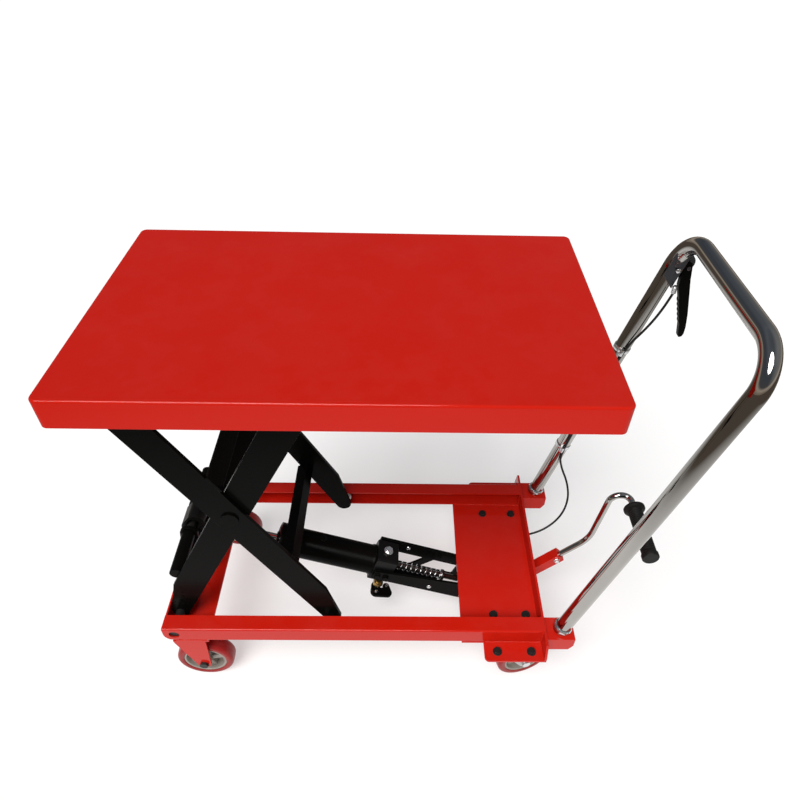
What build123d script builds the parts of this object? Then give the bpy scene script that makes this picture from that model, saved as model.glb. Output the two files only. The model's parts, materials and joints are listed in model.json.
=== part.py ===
# Hand-pumped scissor lift table, raised. Millimetres, +Z up, +X towards the push handle.
# The table's left edge is x = 0 while modelling; every piece is moved at the end so that the
# origin is the middle of the floor under the whole object. near is -Y, far is +Y.
import os
from math import asin, atan2, cos, degrees, hypot, radians, sin, tan

from build123d import *

# Overall driving dimensions
TABLE_LENGTH, TABLE_WIDTH, TABLE_THICKNESS = 815, 500, 50
TABLE_CORNER = 12
RAISED, LOWERED = 880, 285
WHEEL_DIAMETER = 125
WHEEL_WIDTH = 34
SHEET = 3
RUNNING = 0.05

# Rails and channels
CHANNEL_HEIGHT, CHANNEL_DEPTH, CHANNEL_WALL = 43, 34, 3.5
RAIL_Y = 206
RAIL_Z = 170
RAIL_START, RAIL_END = 2, 806
PLATE = 5
RAIL_NOSE = 22
LIP = 4
BRIDGE_START, WING_START = 632, 678
BRIDGE_HALF_WIDTH = 249
WING_CORNER = 10
FLANGE_HEIGHT = 43
CROSS_PLATE_END = 92

# Scissor frames
ARM_LENGTH, ARM_WIDTH, ARM_THICKNESS = 741, 60, 8
ARM_TIP, ARM_TAPER = 18, 95
PIVOT_X = 25
OUTER_ARM_Y, INNER_ARM_Y = 152.7, 142.7
PIN_RADIUS, CENTRE_PIN_RADIUS = 10, 11
ROLLER_RADIUS, ROLLER_WIDTH = 17.7, 24
ROLLER_Y = 174
BASE_PIVOT_Z = RAIL_Z + CHANNEL_HEIGHT / 2
TABLE_PIVOT_Z = RAISED - SHEET - CHANNEL_HEIGHT / 2
ARM_ANGLE = degrees(asin((TABLE_PIVOT_Z - BASE_PIVOT_Z) / ARM_LENGTH))
LOWERED_ANGLE = degrees(asin((TABLE_PIVOT_Z - RAISED + LOWERED - BASE_PIVOT_Z) / ARM_LENGTH))
SCISSOR_TRAVEL = ARM_ANGLE - LOWERED_ANGLE
CENTRE_X = PIVOT_X + ARM_LENGTH / 2 * cos(radians(ARM_ANGLE))
CENTRE_Z = BASE_PIVOT_Z + ARM_LENGTH / 2 * sin(radians(ARM_ANGLE))
ROLLER_X = PIVOT_X + ARM_LENGTH * cos(radians(ARM_ANGLE))
CRANK_PLATE_Y, CRANK_HUB_RADIUS = 34, 21
PLATE_TILT = degrees(atan2(ARM_WIDTH - 2 * ARM_TIP, ARM_LENGTH))

# Pump: hinged at PUMP_HINGE under the bridge, its rod pushes the crank pin
PUMP_HINGE_X, PUMP_HINGE_Z = 700, 72
CRANK_X, CRANK_Z = 42, 321
PUMP_ANGLE = degrees(atan2(CRANK_Z - PUMP_HINGE_Z, PUMP_HINGE_X - CRANK_X))
PUMP_LENGTH = hypot(CRANK_Z - PUMP_HINGE_Z, PUMP_HINGE_X - CRANK_X)
CYLINDER_RADIUS, ROD_RADIUS = 34, 9
CYLINDER_START, CYLINDER_END, BLOCK_END = -512, -286, -236
PUMP_PLATE_Y = 32
FILLER_X = -417
PLUNGER_RADIUS, SPRING_SEAT = 7, -110
PLUG_X = -262
PEDAL_HINGE_X, PEDAL_HINGE_Z = 13.5, 26.5
PEDAL_TRAVEL = 25
PEDAL_PIN_RADIUS = 6

# Wheels
AXLE_Z = WHEEL_DIAMETER / 2
FRONT_AXLE_X, FRONT_WHEEL_Y = 63, 180
CASTOR_X, CASTOR_Y, CASTOR_TRAIL = 742, 185, 38
CASTOR_TURN = {"near": 15, "far": 0}
CASTOR_BOLT_X, CASTOR_BOLT_Y = 36, 43
AXLE_RADIUS = 6
RIM_RADIUS = 47

# Push handle, leaning towards +X
HANDLE_RADIUS, HANDLE_WALL = 16, 2
HANDLE_Y = 193
SOCKET_X, SOCKET_Z = 842, 204
HANDLE_TOP = 919
HANDLE_LEAN = 14.2
HANDLE_BEND = 70
LEVER_PIVOT_X, LEVER_PIVOT_Z = 1036, 850
LEVER_TRAVEL = 16
CABLE_RADIUS = 2.5


def leg_x(z):
    """x of the handle leg's axis at height z."""
    return SOCKET_X + (z - SOCKET_Z) * tan(radians(HANDLE_LEAN))


def bar(x0, x1, y0, y1, z0, z1):
    """Rectangular block between two corners."""
    return Pos((x0 + x1) / 2, (y0 + y1) / 2, (z0 + z1) / 2) * Box(x1 - x0, y1 - y0, z1 - z0)


def round_y(x, z, radius, y0, y1):
    """Cylinder along Y."""
    return Pos(x, (y0 + y1) / 2, z) * Rot(90, 0, 0) * Cylinder(radius, y1 - y0)


def round_x(x0, x1, radius, y=0, z=0):
    """Cylinder along X."""
    return Pos((x0 + x1) / 2, y, z) * Rot(0, 90, 0) * Cylinder(radius, x1 - x0)


def round_z(x, y, radius, z0, z1):
    """Cylinder along Z."""
    return Pos(x, y, (z0 + z1) / 2) * Cylinder(radius, z1 - z0)


def hexagon_z(x, y, radius, z0, z1):
    """Hexagonal prism along Z, such as a bolt head."""
    return Pos(x, y, z0) * extrude(RegularPolygon(radius, 6), amount=z1 - z0)


def cut_from_y(outline, y0, y1):
    """Plate with an outline in X and Z, from y0 to y1."""
    return extrude(Plane.XZ.offset(-y0) * outline, amount=y0 - y1)


def disc(x, z, radius):
    """Edges of a circle in an outline."""
    return (Pos(x, z) * Circle(radius)).edges()


def hulled(*edges):
    """Smallest convex outline round the given edges."""
    return make_hull([edge for group in edges for edge in group])


def side(sign, y0, y1):
    """The y range on the near (-1) or far (+1) side."""
    return (y0, y1) if sign > 0 else (-y1, -y0)


SIDES = {"near": -1, "far": 1}
pieces = {}

# ---------------------------------------------------------------- base frame


def channel(x0, x1, z0, sign):
    """Rolled channel open towards the middle."""
    web = bar(x0, x1, *side(sign, RAIL_Y - CHANNEL_DEPTH, RAIL_Y), z0, z0 + CHANNEL_HEIGHT)
    edges = web.edges().filter_by(Axis.X).group_by(Axis.Y)[-1 if sign > 0 else 0]
    web = fillet(edges, CHANNEL_WALL)
    hollow = bar(x0 - 1, x1 + 1, *side(sign, RAIL_Y - CHANNEL_DEPTH - 1, RAIL_Y - CHANNEL_WALL),
                 z0 + CHANNEL_WALL, z0 + CHANNEL_HEIGHT - CHANNEL_WALL)
    return web - hollow


def base_rail(sign):
    rail = channel(RAIL_START, RAIL_END, RAIL_Z, sign)
    y0, y1 = side(sign, RAIL_Y - CHANNEL_WALL - 1, RAIL_Y + 1)
    rail -= round_y(PIVOT_X, BASE_PIVOT_Z, PIN_RADIUS + 1, y0, y1)
    nose = RAIL_NOSE
    corner = bar(RAIL_START - 1, RAIL_START + nose, *side(sign, RAIL_Y - CHANNEL_DEPTH - 1, RAIL_Y + 1),
                 RAIL_Z - 1, RAIL_Z + nose)
    corner -= round_y(RAIL_START + nose, RAIL_Z + nose, nose, *side(sign, 160, 220))
    return rail - corner


def front_cross_plate():
    inside = RAIL_Y - CHANNEL_DEPTH - 1
    plate = bar(RAIL_START + RAIL_NOSE, CROSS_PLATE_END, -RAIL_Y, RAIL_Y, RAIL_Z - PLATE, RAIL_Z)
    plate += bar(RAIL_START, CROSS_PLATE_END, -inside, inside, RAIL_Z - PLATE, RAIL_Z)
    lip = bar(RAIL_START, RAIL_START + LIP, -inside, inside, RAIL_Z - PLATE, RAIL_Z + CHANNEL_HEIGHT - 1)
    notch = CRANK_PLATE_Y + ARM_THICKNESS + 4
    lip -= bar(RAIL_START - 1, RAIL_START + LIP + 1, -notch, notch, RAIL_Z + 6, RAIL_Z + CHANNEL_HEIGHT)
    body = plate + lip
    edge = body.edges().filter_by(Axis.Y).sort_by(lambda e: e.center().X + e.center().Z)[0]
    return fillet(edge, PLATE)


def rear_bridge_plate():
    right = RAIL_END + 1
    z0 = RAIL_Z - PLATE
    plate = bar(BRIDGE_START, right, -RAIL_Y, RAIL_Y, z0, RAIL_Z)
    wings = bar(WING_START, right, -BRIDGE_HALF_WIDTH, BRIDGE_HALF_WIDTH, z0, RAIL_Z)
    plate += fillet(wings.edges().filter_by(Axis.Z).group_by(Axis.X)[0], WING_CORNER)
    outline = Polyline((-BRIDGE_HALF_WIDTH, z0), (BRIDGE_HALF_WIDTH, z0),
                       (BRIDGE_HALF_WIDTH, z0 + 14), (BRIDGE_HALF_WIDTH - 12, RAIL_Z + FLANGE_HEIGHT),
                       (-BRIDGE_HALF_WIDTH + 12, RAIL_Z + FLANGE_HEIGHT), (-BRIDGE_HALF_WIDTH, z0 + 14),
                       (-BRIDGE_HALF_WIDTH, z0))
    flange = extrude(Plane.YZ.offset(right - PLATE) * make_face(outline), amount=PLATE)
    rails = bar(0, RAIL_END, RAIL_Y - CHANNEL_DEPTH, RAIL_Y, RAIL_Z, RAIL_Z + CHANNEL_HEIGHT)
    flange -= rails + mirror(rails, Plane.XZ)
    body = plate + flange
    for x, y in castor_bolt_places():
        body -= round_z(x, y, 5, z0 - 1, RAIL_Z + 1)
    return body


def castor_bolt_places():
    return [(CASTOR_X + i * CASTOR_BOLT_X, sign * (CASTOR_Y + j * CASTOR_BOLT_Y))
            for sign in (-1, 1) for i in (-1, 1) for j in (-1, 1)]


def castor_bolts():
    """Hexagon head on the bridge plate, shank through both plates, nut under the castor."""
    low, top = RAIL_Z - 2 * PLATE, RAIL_Z
    group = []
    for x, y in castor_bolt_places():
        bolt = hexagon_z(x, y, 9, top, top + 6.5)
        bolt += round_z(x, y, 4.9, low - 6, top)
        group.append(bolt + hexagon_z(x, y, 8.5, low - 6, low))
    return Compound(children=group)


def front_fork(sign):
    """Fixed castor bracket: a top plate and two cheeks that taper down to the axle."""
    z_top, z_axle, wall, half = RAIL_Z - PLATE, AXLE_Z, 4, WHEEL_WIDTH / 2 + 4
    y = FRONT_WHEEL_Y
    cheek = hulled(disc(FRONT_AXLE_X, z_axle, 15),
                   Polyline((16, z_top), (84, z_top), (84, z_top - 8), (17, z_top - 8), (16, z_top)).edges())
    body = bar(16, CROSS_PLATE_END, *side(sign, y - half - wall, y + half + wall), z_top - wall, z_top)
    for y0 in (y - half - wall, y + half):
        body += cut_from_y(cheek, *side(sign, y0, y0 + wall))
    return body - round_y(FRONT_AXLE_X, z_axle, AXLE_RADIUS, *side(sign, 100, 250))


def swivel_plate(sign):
    """Top plate and ball race that stay with the base."""
    z = RAIL_Z - PLATE
    x, y = CASTOR_X, sign * CASTOR_Y
    body = Pos(x, y, z - PLATE / 2) * Box(96, 108, PLATE)
    body = fillet(body.edges().filter_by(Axis.Z), 8)
    for dx in (-1, 1):
        for dy in (-1, 1):
            body -= round_z(x + dx * CASTOR_BOLT_X, y + dy * CASTOR_BOLT_Y, 5, z - 10, z + 1)
    return body + round_z(x, y, 27, z - 12, z - PLATE) + round_z(x, y, 8, z - 27, z - 10)


def swivel_fork(sign):
    """Turning fork: a crown round the kingpin and two raked cheeks."""
    wall, half = 3.5, WHEEL_WIDTH / 2 + 4
    top = RAIL_Z - PLATE - 12.4
    x, y = CASTOR_X, sign * CASTOR_Y
    axle = CASTOR_X + CASTOR_TRAIL
    crown = round_z(x, y, 30, top - 10, top) + bar(x - 26, x + 34, y - half - wall, y + half + wall,
                                                   top - 10, top - 5)
    cheek = hulled(disc(axle, AXLE_Z, 15),
                   Polyline((x - 26, top - 5), (x + 34, top - 5), (x + 34, top - 20), (x - 26, top - 20),
                            (x - 26, top - 5)).edges())
    body = crown
    for y0 in (y - half - wall, y + half):
        body += cut_from_y(cheek, y0, y0 + wall)
    body -= round_z(x, y, 8 + RUNNING, top - 20, top + 1)
    return body - round_y(axle, AXLE_Z, AXLE_RADIUS, y - 40, y + 40)


def swivelled(shape, name):
    """Turn a castor's piece about its kingpin to the angle at which that castor stands."""
    kingpin = Pos(CASTOR_X, SIDES[name] * CASTOR_Y, 0)
    return kingpin * Rot(0, 0, CASTOR_TURN[name]) * kingpin.inverse() * shape


def axle_bolt(x, y, half):
    """Bolt across a fork, with a hexagon head and nut."""
    bolt = round_y(x, AXLE_Z, AXLE_RADIUS, y - half, y + half)
    for y0, y1 in ((y - half - 6, y - half), (y + half, y + half + 6)):
        bolt += cut_from_y(Pos(x, AXLE_Z) * RegularPolygon(10, 6), y0, y1)
    return bolt


def tyre(x, y):
    ring = round_y(x, AXLE_Z, WHEEL_DIAMETER / 2, y - WHEEL_WIDTH / 2, y + WHEEL_WIDTH / 2)
    ring = fillet(ring.edges().filter_by(GeomType.CIRCLE), 7)
    return ring - round_y(x, AXLE_Z, RIM_RADIUS, y - 30, y + 30)


def rim(x, y):
    """Cast wheel centre: barrel, a web with five round windows, and hub."""
    half = WHEEL_WIDTH / 2
    body = round_y(x, AXLE_Z, RIM_RADIUS, y - half + 2, y + half - 2)
    for y0, y1 in ((y - half, y - 5), (y + 5, y + half)):
        body -= round_y(x, AXLE_Z, RIM_RADIUS - 6, y0, y1)
    for turn in range(0, 360, 72):
        window_x, window_z = x + 28.5 * sin(radians(turn)), AXLE_Z + 28.5 * cos(radians(turn))
        body -= round_y(window_x, window_z, 10, y - half, y + half)
    body += round_y(x, AXLE_Z, 15, y - half - 3, y + half + 3)
    return body - round_y(x, AXLE_Z, AXLE_RADIUS + RUNNING, y - 40, y + 40)


def pump_lug(sign):
    """Ear under the bridge plate that carries one pump trunnion."""
    top = RAIL_Z - PLATE
    outline = hulled(disc(PUMP_HINGE_X, PUMP_HINGE_Z, 20),
                     Polyline((PUMP_HINGE_X - 38, top), (PUMP_HINGE_X + 38, top),
                              (PUMP_HINGE_X + 38, top - 12), (PUMP_HINGE_X - 38, top - 12),
                              (PUMP_HINGE_X - 38, top)).edges())
    y0, y1 = side(sign, 42, 48)
    return cut_from_y(outline, y0, y1) - round_y(PUMP_HINGE_X, PUMP_HINGE_Z, 9, *side(sign, 30, 60))


def handle_socket(sign):
    """Box socket welded to the flange, its lower outer corner cut off."""
    z0, z1, x0, x1 = 163, SOCKET_Z, RAIL_END + 1, 868
    outline = make_face(Polyline((x0, z0), (x1 - 9, z0), (x1, z0 + 15), (x1, z1), (x0, z1), (x0, z0)))
    body = cut_from_y(outline, *side(sign, HANDLE_Y - 26, HANDLE_Y + 26))
    return body - leg_bore(sign, HANDLE_RADIUS)


def leg_bore(sign, radius, length=60, start=-32):
    """Round bar on the leg's axis, from start to start + length past the socket's top."""
    place = Pos(SOCKET_X, sign * HANDLE_Y, SOCKET_Z) * Rot(0, HANDLE_LEAN, 0)
    return place * round_z(0, 0, radius, start, start + length)


def handle_collar(sign):
    return leg_bore(sign, HANDLE_RADIUS + 4, 9, 5.5) - leg_bore(sign, HANDLE_RADIUS, 40, -10)


def handle_tube():
    def corner(y, z):
        return (leg_x(z), y, z)

    foot = SOCKET_Z - 30
    path = FilletPolyline(corner(-HANDLE_Y, foot), corner(-HANDLE_Y, HANDLE_TOP),
                          corner(HANDLE_Y, HANDLE_TOP), corner(HANDLE_Y, foot), radius=HANDLE_BEND)
    section = Plane(origin=path @ 0, z_dir=path % 0)
    ring = section * (Circle(HANDLE_RADIUS) - Circle(HANDLE_RADIUS - HANDLE_WALL))
    return sweep(ring, path=path)


for name, sign in SIDES.items():
    pieces[f"base_rail_{name}"] = base_rail(sign)
pieces["front_cross_plate"] = front_cross_plate()
pieces["rear_bridge_plate"] = rear_bridge_plate()
pieces["castor_bolts"] = castor_bolts()
pieces["front_forks"] = Compound(children=[front_fork(s) for s in SIDES.values()])
pieces["swivel_plates"] = Compound(children=[swivel_plate(s) for s in SIDES.values()])
pieces["handle_sockets"] = Compound(children=[handle_socket(s) for s in SIDES.values()])
pieces["handle_collars"] = Compound(children=[handle_collar(s) for s in SIDES.values()])
pieces["handle_tube"] = handle_tube()
pieces["pump_lugs"] = Compound(children=[pump_lug(s) for s in SIDES.values()])
pieces["pump_trunnions"] = Compound(
    children=[round_y(PUMP_HINGE_X, PUMP_HINGE_Z, 9, *side(s, PUMP_PLATE_Y + 0.5, 52)) for s in SIDES.values()])
web_inside = RAIL_Y - CHANNEL_WALL
chassis_pins = [round_y(PIVOT_X, BASE_PIVOT_Z, PIN_RADIUS, *side(s, INNER_ARM_Y - 10, web_inside))
                + round_y(PIVOT_X, BASE_PIVOT_Z, PIN_RADIUS + 5, *side(s, web_inside - 3, web_inside))
                for s in SIDES.values()]
chassis_pins += [axle_bolt(FRONT_AXLE_X, s * FRONT_WHEEL_Y, WHEEL_WIDTH / 2 + 8) for s in SIDES.values()]
pieces["chassis_pins"] = Compound(children=chassis_pins)
for name, sign in SIDES.items():
    pieces[f"front_tyre_{name}"] = tyre(FRONT_AXLE_X, sign * FRONT_WHEEL_Y)
    pieces[f"front_rim_{name}"] = rim(FRONT_AXLE_X, sign * FRONT_WHEEL_Y)
    castor_axle = (CASTOR_X + CASTOR_TRAIL, sign * CASTOR_Y)
    pieces[f"rear_tyre_{name}"] = swivelled(tyre(*castor_axle), name)
    pieces[f"rear_rim_{name}"] = swivelled(rim(*castor_axle), name)
    pieces[f"swivel_fork_{name}"] = swivelled(swivel_fork(sign), name)
    pieces[f"swivel_axle_{name}"] = swivelled(axle_bolt(*castor_axle, WHEEL_WIDTH / 2 + 7.5), name)

# ---------------------------------------------------------------- scissor frames


def arm_outline():
    """Arm in its own plane: lower pivot at the origin, upper pivot at +X, plate edges slightly
    askew so that each end pivot lies ARM_TIP from one edge."""
    slope = (ARM_WIDTH - 2 * ARM_TIP) / ARM_LENGTH
    top = ARM_WIDTH - ARM_TIP
    shoulder = (ARM_TAPER, top - slope * ARM_TAPER)
    far_shoulder = (ARM_LENGTH - ARM_TAPER, -ARM_TIP - slope * (ARM_LENGTH - ARM_TAPER))
    return hulled(disc(0, 0, ARM_TIP), disc(ARM_LENGTH, 0, ARM_TIP), Line(shoulder, far_shoulder).edges())


def on_arm(shape, sign_x):
    """Place a shape drawn in the arm's plane: +1 leans up to the right, -1 up to the left."""
    if sign_x > 0:
        return Pos(PIVOT_X, 0, BASE_PIVOT_Z) * Rot(0, -ARM_ANGLE, 0) * shape
    leaning = Pos(0, 0, BASE_PIVOT_Z) * Rot(0, -ARM_ANGLE, 0) * shape
    return Pos(ROLLER_X, 0, 0) * mirror(leaning, Plane.YZ)


def arm(sign_x, sign, y0):
    plate = cut_from_y(arm_outline(), *side(sign, y0, y0 + ARM_THICKNESS))
    reach = side(sign, y0 - 1, y0 + ARM_THICKNESS + 1)
    bores = [(0, PIN_RADIUS + (RUNNING if sign_x > 0 else 0)),
             (ARM_LENGTH / 2, CENTRE_PIN_RADIUS + (RUNNING if sign_x > 0 else 0)),
             (ARM_LENGTH, PIN_RADIUS + (0 if sign_x > 0 else RUNNING))]
    for u, radius in bores:
        plate -= round_y(u, 0, radius, *reach)
    return on_arm(plate, sign_x)


def roller_axle(x, z, sign, y0):
    """Stub axle from the arm out to the roller's washer."""
    end = ROLLER_Y + ROLLER_WIDTH + 1.2
    axle = round_y(x, z, PIN_RADIUS, *side(sign, y0, end))
    return axle + round_y(x, z, PIN_RADIUS + 4, *side(sign, end - 1, end + 1.5))


def roller(x, z, sign):
    body = round_y(x, z, ROLLER_RADIUS, *side(sign, ROLLER_Y, ROLLER_Y + ROLLER_WIDTH))
    return body - round_y(x, z, PIN_RADIUS + RUNNING, *side(sign, ROLLER_Y - 1, ROLLER_Y + ROLLER_WIDTH + 1))


crank_u = (CRANK_X - PIVOT_X) * cos(radians(ARM_ANGLE)) + (CRANK_Z - BASE_PIVOT_Z) * sin(radians(ARM_ANGLE))
crank_v = (CRANK_Z - BASE_PIVOT_Z) * cos(radians(ARM_ANGLE)) - (CRANK_X - PIVOT_X) * sin(radians(ARM_ANGLE))


def inner_cross_tubes():
    """Torque tube on the base pivot, two shafts out to the arms from the crank, a tie near the top."""
    inner = INNER_ARM_Y
    torque = round_y(0, 0, ARM_TIP - 1, -inner, inner)
    for sign in SIDES.values():
        torque -= round_y(0, 0, PIN_RADIUS + RUNNING, *side(sign, inner - 12, inner + 1))
    tie = round_y(630, -ARM_WIDTH / 5, 15, -inner, inner) - round_y(630, -ARM_WIDTH / 5, 12, -inner, inner)
    shafts = [round_y(crank_u, crank_v, 14, *side(s, CRANK_PLATE_Y + 8, inner)) for s in SIDES.values()]
    return Compound(children=[on_arm(shape, 1) for shape in [torque, tie] + shafts])


def pump_crank():
    """Two plates from the torque tube to the pin that the pump's rod pushes."""
    outline = hulled(disc(0, 0, CRANK_HUB_RADIUS), disc(crank_u, crank_v, 19))
    outline -= Pos(0, 0) * Circle(ARM_TIP - 1)
    outline -= Pos(crank_u, crank_v) * Circle(PIN_RADIUS)
    plates = [on_arm(cut_from_y(outline, *side(s, CRANK_PLATE_Y, CRANK_PLATE_Y + 8)), 1) for s in SIDES.values()]
    return Compound(children=plates)


def inner_frame_pins():
    """Crank pin and the two upper roller axles."""
    crank = on_arm(round_y(crank_u, crank_v, PIN_RADIUS, -CRANK_PLATE_Y - 8, CRANK_PLATE_Y + 8), 1)
    axles = [roller_axle(ROLLER_X, TABLE_PIVOT_Z, s, INNER_ARM_Y) for s in SIDES.values()]
    return Compound(children=[crank] + axles)


def outer_crossbars():
    """Square tube near the lower end, flat bar across the arms' top edges above the centre."""
    tilt = Rot(0, PLATE_TILT, 0)
    middle = Pos(ARM_LENGTH / 2, 0, 0)
    outer = OUTER_ARM_Y
    tube = bar(-226, -200, -outer, outer, -36, -10) - bar(-223, -203, -outer - 1, outer + 1, -33, -13)
    reach = outer + ARM_THICKNESS
    flat = bar(66, 106, -reach, reach, ARM_WIDTH / 2, ARM_WIDTH / 2 + 5)
    return Compound(children=[on_arm(middle * tilt * shape, -1) for shape in (tube, flat)])


def outer_frame_pins():
    """Centre pins, and the two lower roller axles."""
    pins = []
    for sign in SIDES.values():
        pin = round_y(CENTRE_X, CENTRE_Z, CENTRE_PIN_RADIUS, *side(sign, INNER_ARM_Y - 6, OUTER_ARM_Y + 12))
        pin += round_y(CENTRE_X, CENTRE_Z, 16, *side(sign, OUTER_ARM_Y + ARM_THICKNESS, OUTER_ARM_Y + 12))
        pin += round_y(CENTRE_X, CENTRE_Z, 16, *side(sign, INNER_ARM_Y - 7, INNER_ARM_Y - 0.5))
        pins.append(pin)
    pins += [roller_axle(ROLLER_X, BASE_PIVOT_Z, s, OUTER_ARM_Y) for s in SIDES.values()]
    return Compound(children=pins)


for name, sign in SIDES.items():
    pieces[f"inner_arm_{name}"] = arm(1, sign, INNER_ARM_Y)
    pieces[f"outer_arm_{name}"] = arm(-1, sign, OUTER_ARM_Y)
    pieces[f"upper_roller_{name}"] = roller(ROLLER_X, TABLE_PIVOT_Z, sign)
    pieces[f"lower_roller_{name}"] = roller(ROLLER_X, BASE_PIVOT_Z, sign)
pieces["inner_cross_tubes"] = inner_cross_tubes()
pieces["pump_crank"] = pump_crank()
pieces["inner_frame_pins"] = inner_frame_pins()
pieces["outer_crossbars"] = outer_crossbars()
pieces["outer_frame_pins"] = outer_frame_pins()

# ---------------------------------------------------------------- table


def table_top():
    """Folded sheet tray, open below."""
    half = TABLE_WIDTH / 2
    tray = bar(0, TABLE_LENGTH, -half, half, RAISED - TABLE_THICKNESS, RAISED)
    tray = fillet(tray.edges().filter_by(Axis.Z), TABLE_CORNER)
    tray = fillet(tray.faces().sort_by(Axis.Z)[-1].edges(), 4)
    hollow = bar(SHEET, TABLE_LENGTH - SHEET, SHEET - half, half - SHEET,
                 RAISED - TABLE_THICKNESS - 1, RAISED - SHEET)
    hollow = fillet(hollow.edges().filter_by(Axis.Z), TABLE_CORNER - SHEET)
    return tray - hollow


def table_lug(sign):
    """Ear under the tray that carries the outer arm's upper pivot."""
    top = RAISED - SHEET
    outline = hulled(disc(PIVOT_X, TABLE_PIVOT_Z, ARM_TIP),
                     Polyline((SHEET + 2, top), (60, top), (60, top - 8), (SHEET + 2, top - 8),
                              (SHEET + 2, top)).edges())
    y0 = OUTER_ARM_Y + ARM_THICKNESS + 2
    return cut_from_y(outline, *side(sign, y0, y0 + 8)) - round_y(
        PIVOT_X, TABLE_PIVOT_Z, PIN_RADIUS, *side(sign, 150, 190))


pieces["table_top"] = table_top()
pieces["table_lugs"] = Compound(children=[table_lug(s) for s in SIDES.values()])
pieces["table_pins"] = Compound(
    children=[round_y(PIVOT_X, TABLE_PIVOT_Z, PIN_RADIUS, *side(s, OUTER_ARM_Y - 4, OUTER_ARM_Y + 22))
              for s in SIDES.values()])
pieces["table_channels"] = Compound(
    children=[channel(ROLLER_X - 45, TABLE_LENGTH - SHEET - 4, RAISED - SHEET - CHANNEL_HEIGHT, s)
              for s in SIDES.values()])

# ---------------------------------------------------------------- pump
# Pump pieces are drawn on the pump's own axis: origin on its hinge, rod towards -X, then tilted.


def on_pump(shape):
    return Pos(PUMP_HINGE_X, 0, PUMP_HINGE_Z) * Rot(0, PUMP_ANGLE, 0) * shape


def pump_cylinder():
    body = round_x(CYLINDER_START, CYLINDER_END, CYLINDER_RADIUS)
    body += round_x(CYLINDER_START - 6, CYLINDER_START + 12, CYLINDER_RADIUS + 3)
    body -= round_x(CYLINDER_START + 14, CYLINDER_END - 8, CYLINDER_RADIUS - 6)
    body -= round_z(FILLER_X, 0, 8 + RUNNING, CYLINDER_RADIUS - 1, CYLINDER_RADIUS + 5)
    return body - round_x(CYLINDER_START - 10, CYLINDER_START + 20, ROD_RADIUS + RUNNING)


def pump_block():
    """Cast valve block behind the cylinder."""
    body = bar(CYLINDER_END, BLOCK_END, -30, 30, -38, 44)
    body = fillet(body.edges().filter_by(Axis.X), 6)
    body -= round_x(BLOCK_END - 34, BLOCK_END + 1, PLUNGER_RADIUS + RUNNING)
    return body + round_x(BLOCK_END - 0.01, BLOCK_END + 6, 15) - round_x(
        BLOCK_END - 34, BLOCK_END + 8, PLUNGER_RADIUS + RUNNING)


def pump_side_plate(sign):
    """Side plate from the block to the hinge; the far one is taller and has
    two windows with a raked rib between them."""
    low, high = (-21, 6) if sign < 0 else (-44, 44)
    outline = hulled(disc(0, 0, 18), disc(PEDAL_HINGE_X, PEDAL_HINGE_Z, 14),
                     Polyline((CYLINDER_END + 6, low), (CYLINDER_END + 6, high), (-60, high), (-60, low),
                              (CYLINDER_END + 6, low)).edges())
    outline -= Circle(9 + RUNNING)
    outline -= Pos(PEDAL_HINGE_X, PEDAL_HINGE_Z) * Circle(PEDAL_PIN_RADIUS)
    if sign > 0:
        for low_start, low_end, high_start, high_end in ((-230, -180, -230, -153), (-158, -66, -131, -66)):
            window = Polyline((low_start, -32), (low_end, -32), (high_end, 8), (high_start, 8), (low_start, -32))
            outline -= fillet(make_face(window).vertices(), 4)
    y0, y1 = side(sign, PUMP_PLATE_Y, PUMP_PLATE_Y + 6)
    return cut_from_y(outline, y0, y1)


def pump_frame():
    """The two side plates, bolted to the block through packers; the near one
    has a ledge folded in under the spring."""
    group = []
    for sign in SIDES.values():
        packer = bar(CYLINDER_END + 8, BLOCK_END - 4, *side(sign, 30, PUMP_PLATE_Y), -18, 4)
        group.append(pump_side_plate(sign) + packer)
    group[0] += bar(BLOCK_END + 3, -112, -PUMP_PLATE_Y - 1, 8, -21, -17)
    return Compound(children=group)


VALVE_X, VALVE_Y, VALVE_TOP = -254, -26, -38


def release_valve():
    """Brass cartridge screwed up into the block."""
    body = hexagon_z(VALVE_X, VALVE_Y, 13, VALVE_TOP - 16, VALVE_TOP)
    return body + round_z(VALVE_X, VALVE_Y, 6, VALVE_TOP - 34, VALVE_TOP - 16)


def valve_lever():
    """Small lever clamped on the valve's spindle."""
    z0 = VALVE_TOP - 30
    spindle, clamp, heel, toe = (
        Pos(VALVE_X + dx, VALVE_Y + dy) * Circle(radius)
        for dx, dy, radius in ((0, 0, 11), (26, 4, 8), (0, -17, 12), (30, -13, 11)))
    outline = hulled(heel.edges(), toe.edges())
    outline += hulled(spindle.edges(), heel.edges())
    outline += hulled(clamp.edges(), toe.edges())
    plate = Pos(0, 0, z0) * extrude(outline, amount=7)
    return plate - round_z(VALVE_X, VALVE_Y, 6 + RUNNING, z0 - 1, z0 + 8)


def pump_fasteners():
    """Block bolt, oil filler on the cylinder, the plates' hexagon screws, and the pedal's pin."""
    group = [hexagon_z(PLUG_X, 0, 10, 44, 53), round_z(FILLER_X, 0, 8, CYLINDER_RADIUS - 1, CYLINDER_RADIUS + 5)]
    for sign in SIDES.values():
        for x in (CYLINDER_END + 16, BLOCK_END - 14):
            y0, y1 = side(sign, PUMP_PLATE_Y + 6, PUMP_PLATE_Y + 12)
            group.append(cut_from_y(Pos(x, -7) * RegularPolygon(8, 6), y0, y1))
    reach = PUMP_PLATE_Y + 9
    group.append(round_y(PEDAL_HINGE_X, PEDAL_HINGE_Z, PEDAL_PIN_RADIUS, -reach, reach))
    return Compound(children=group)


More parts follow.
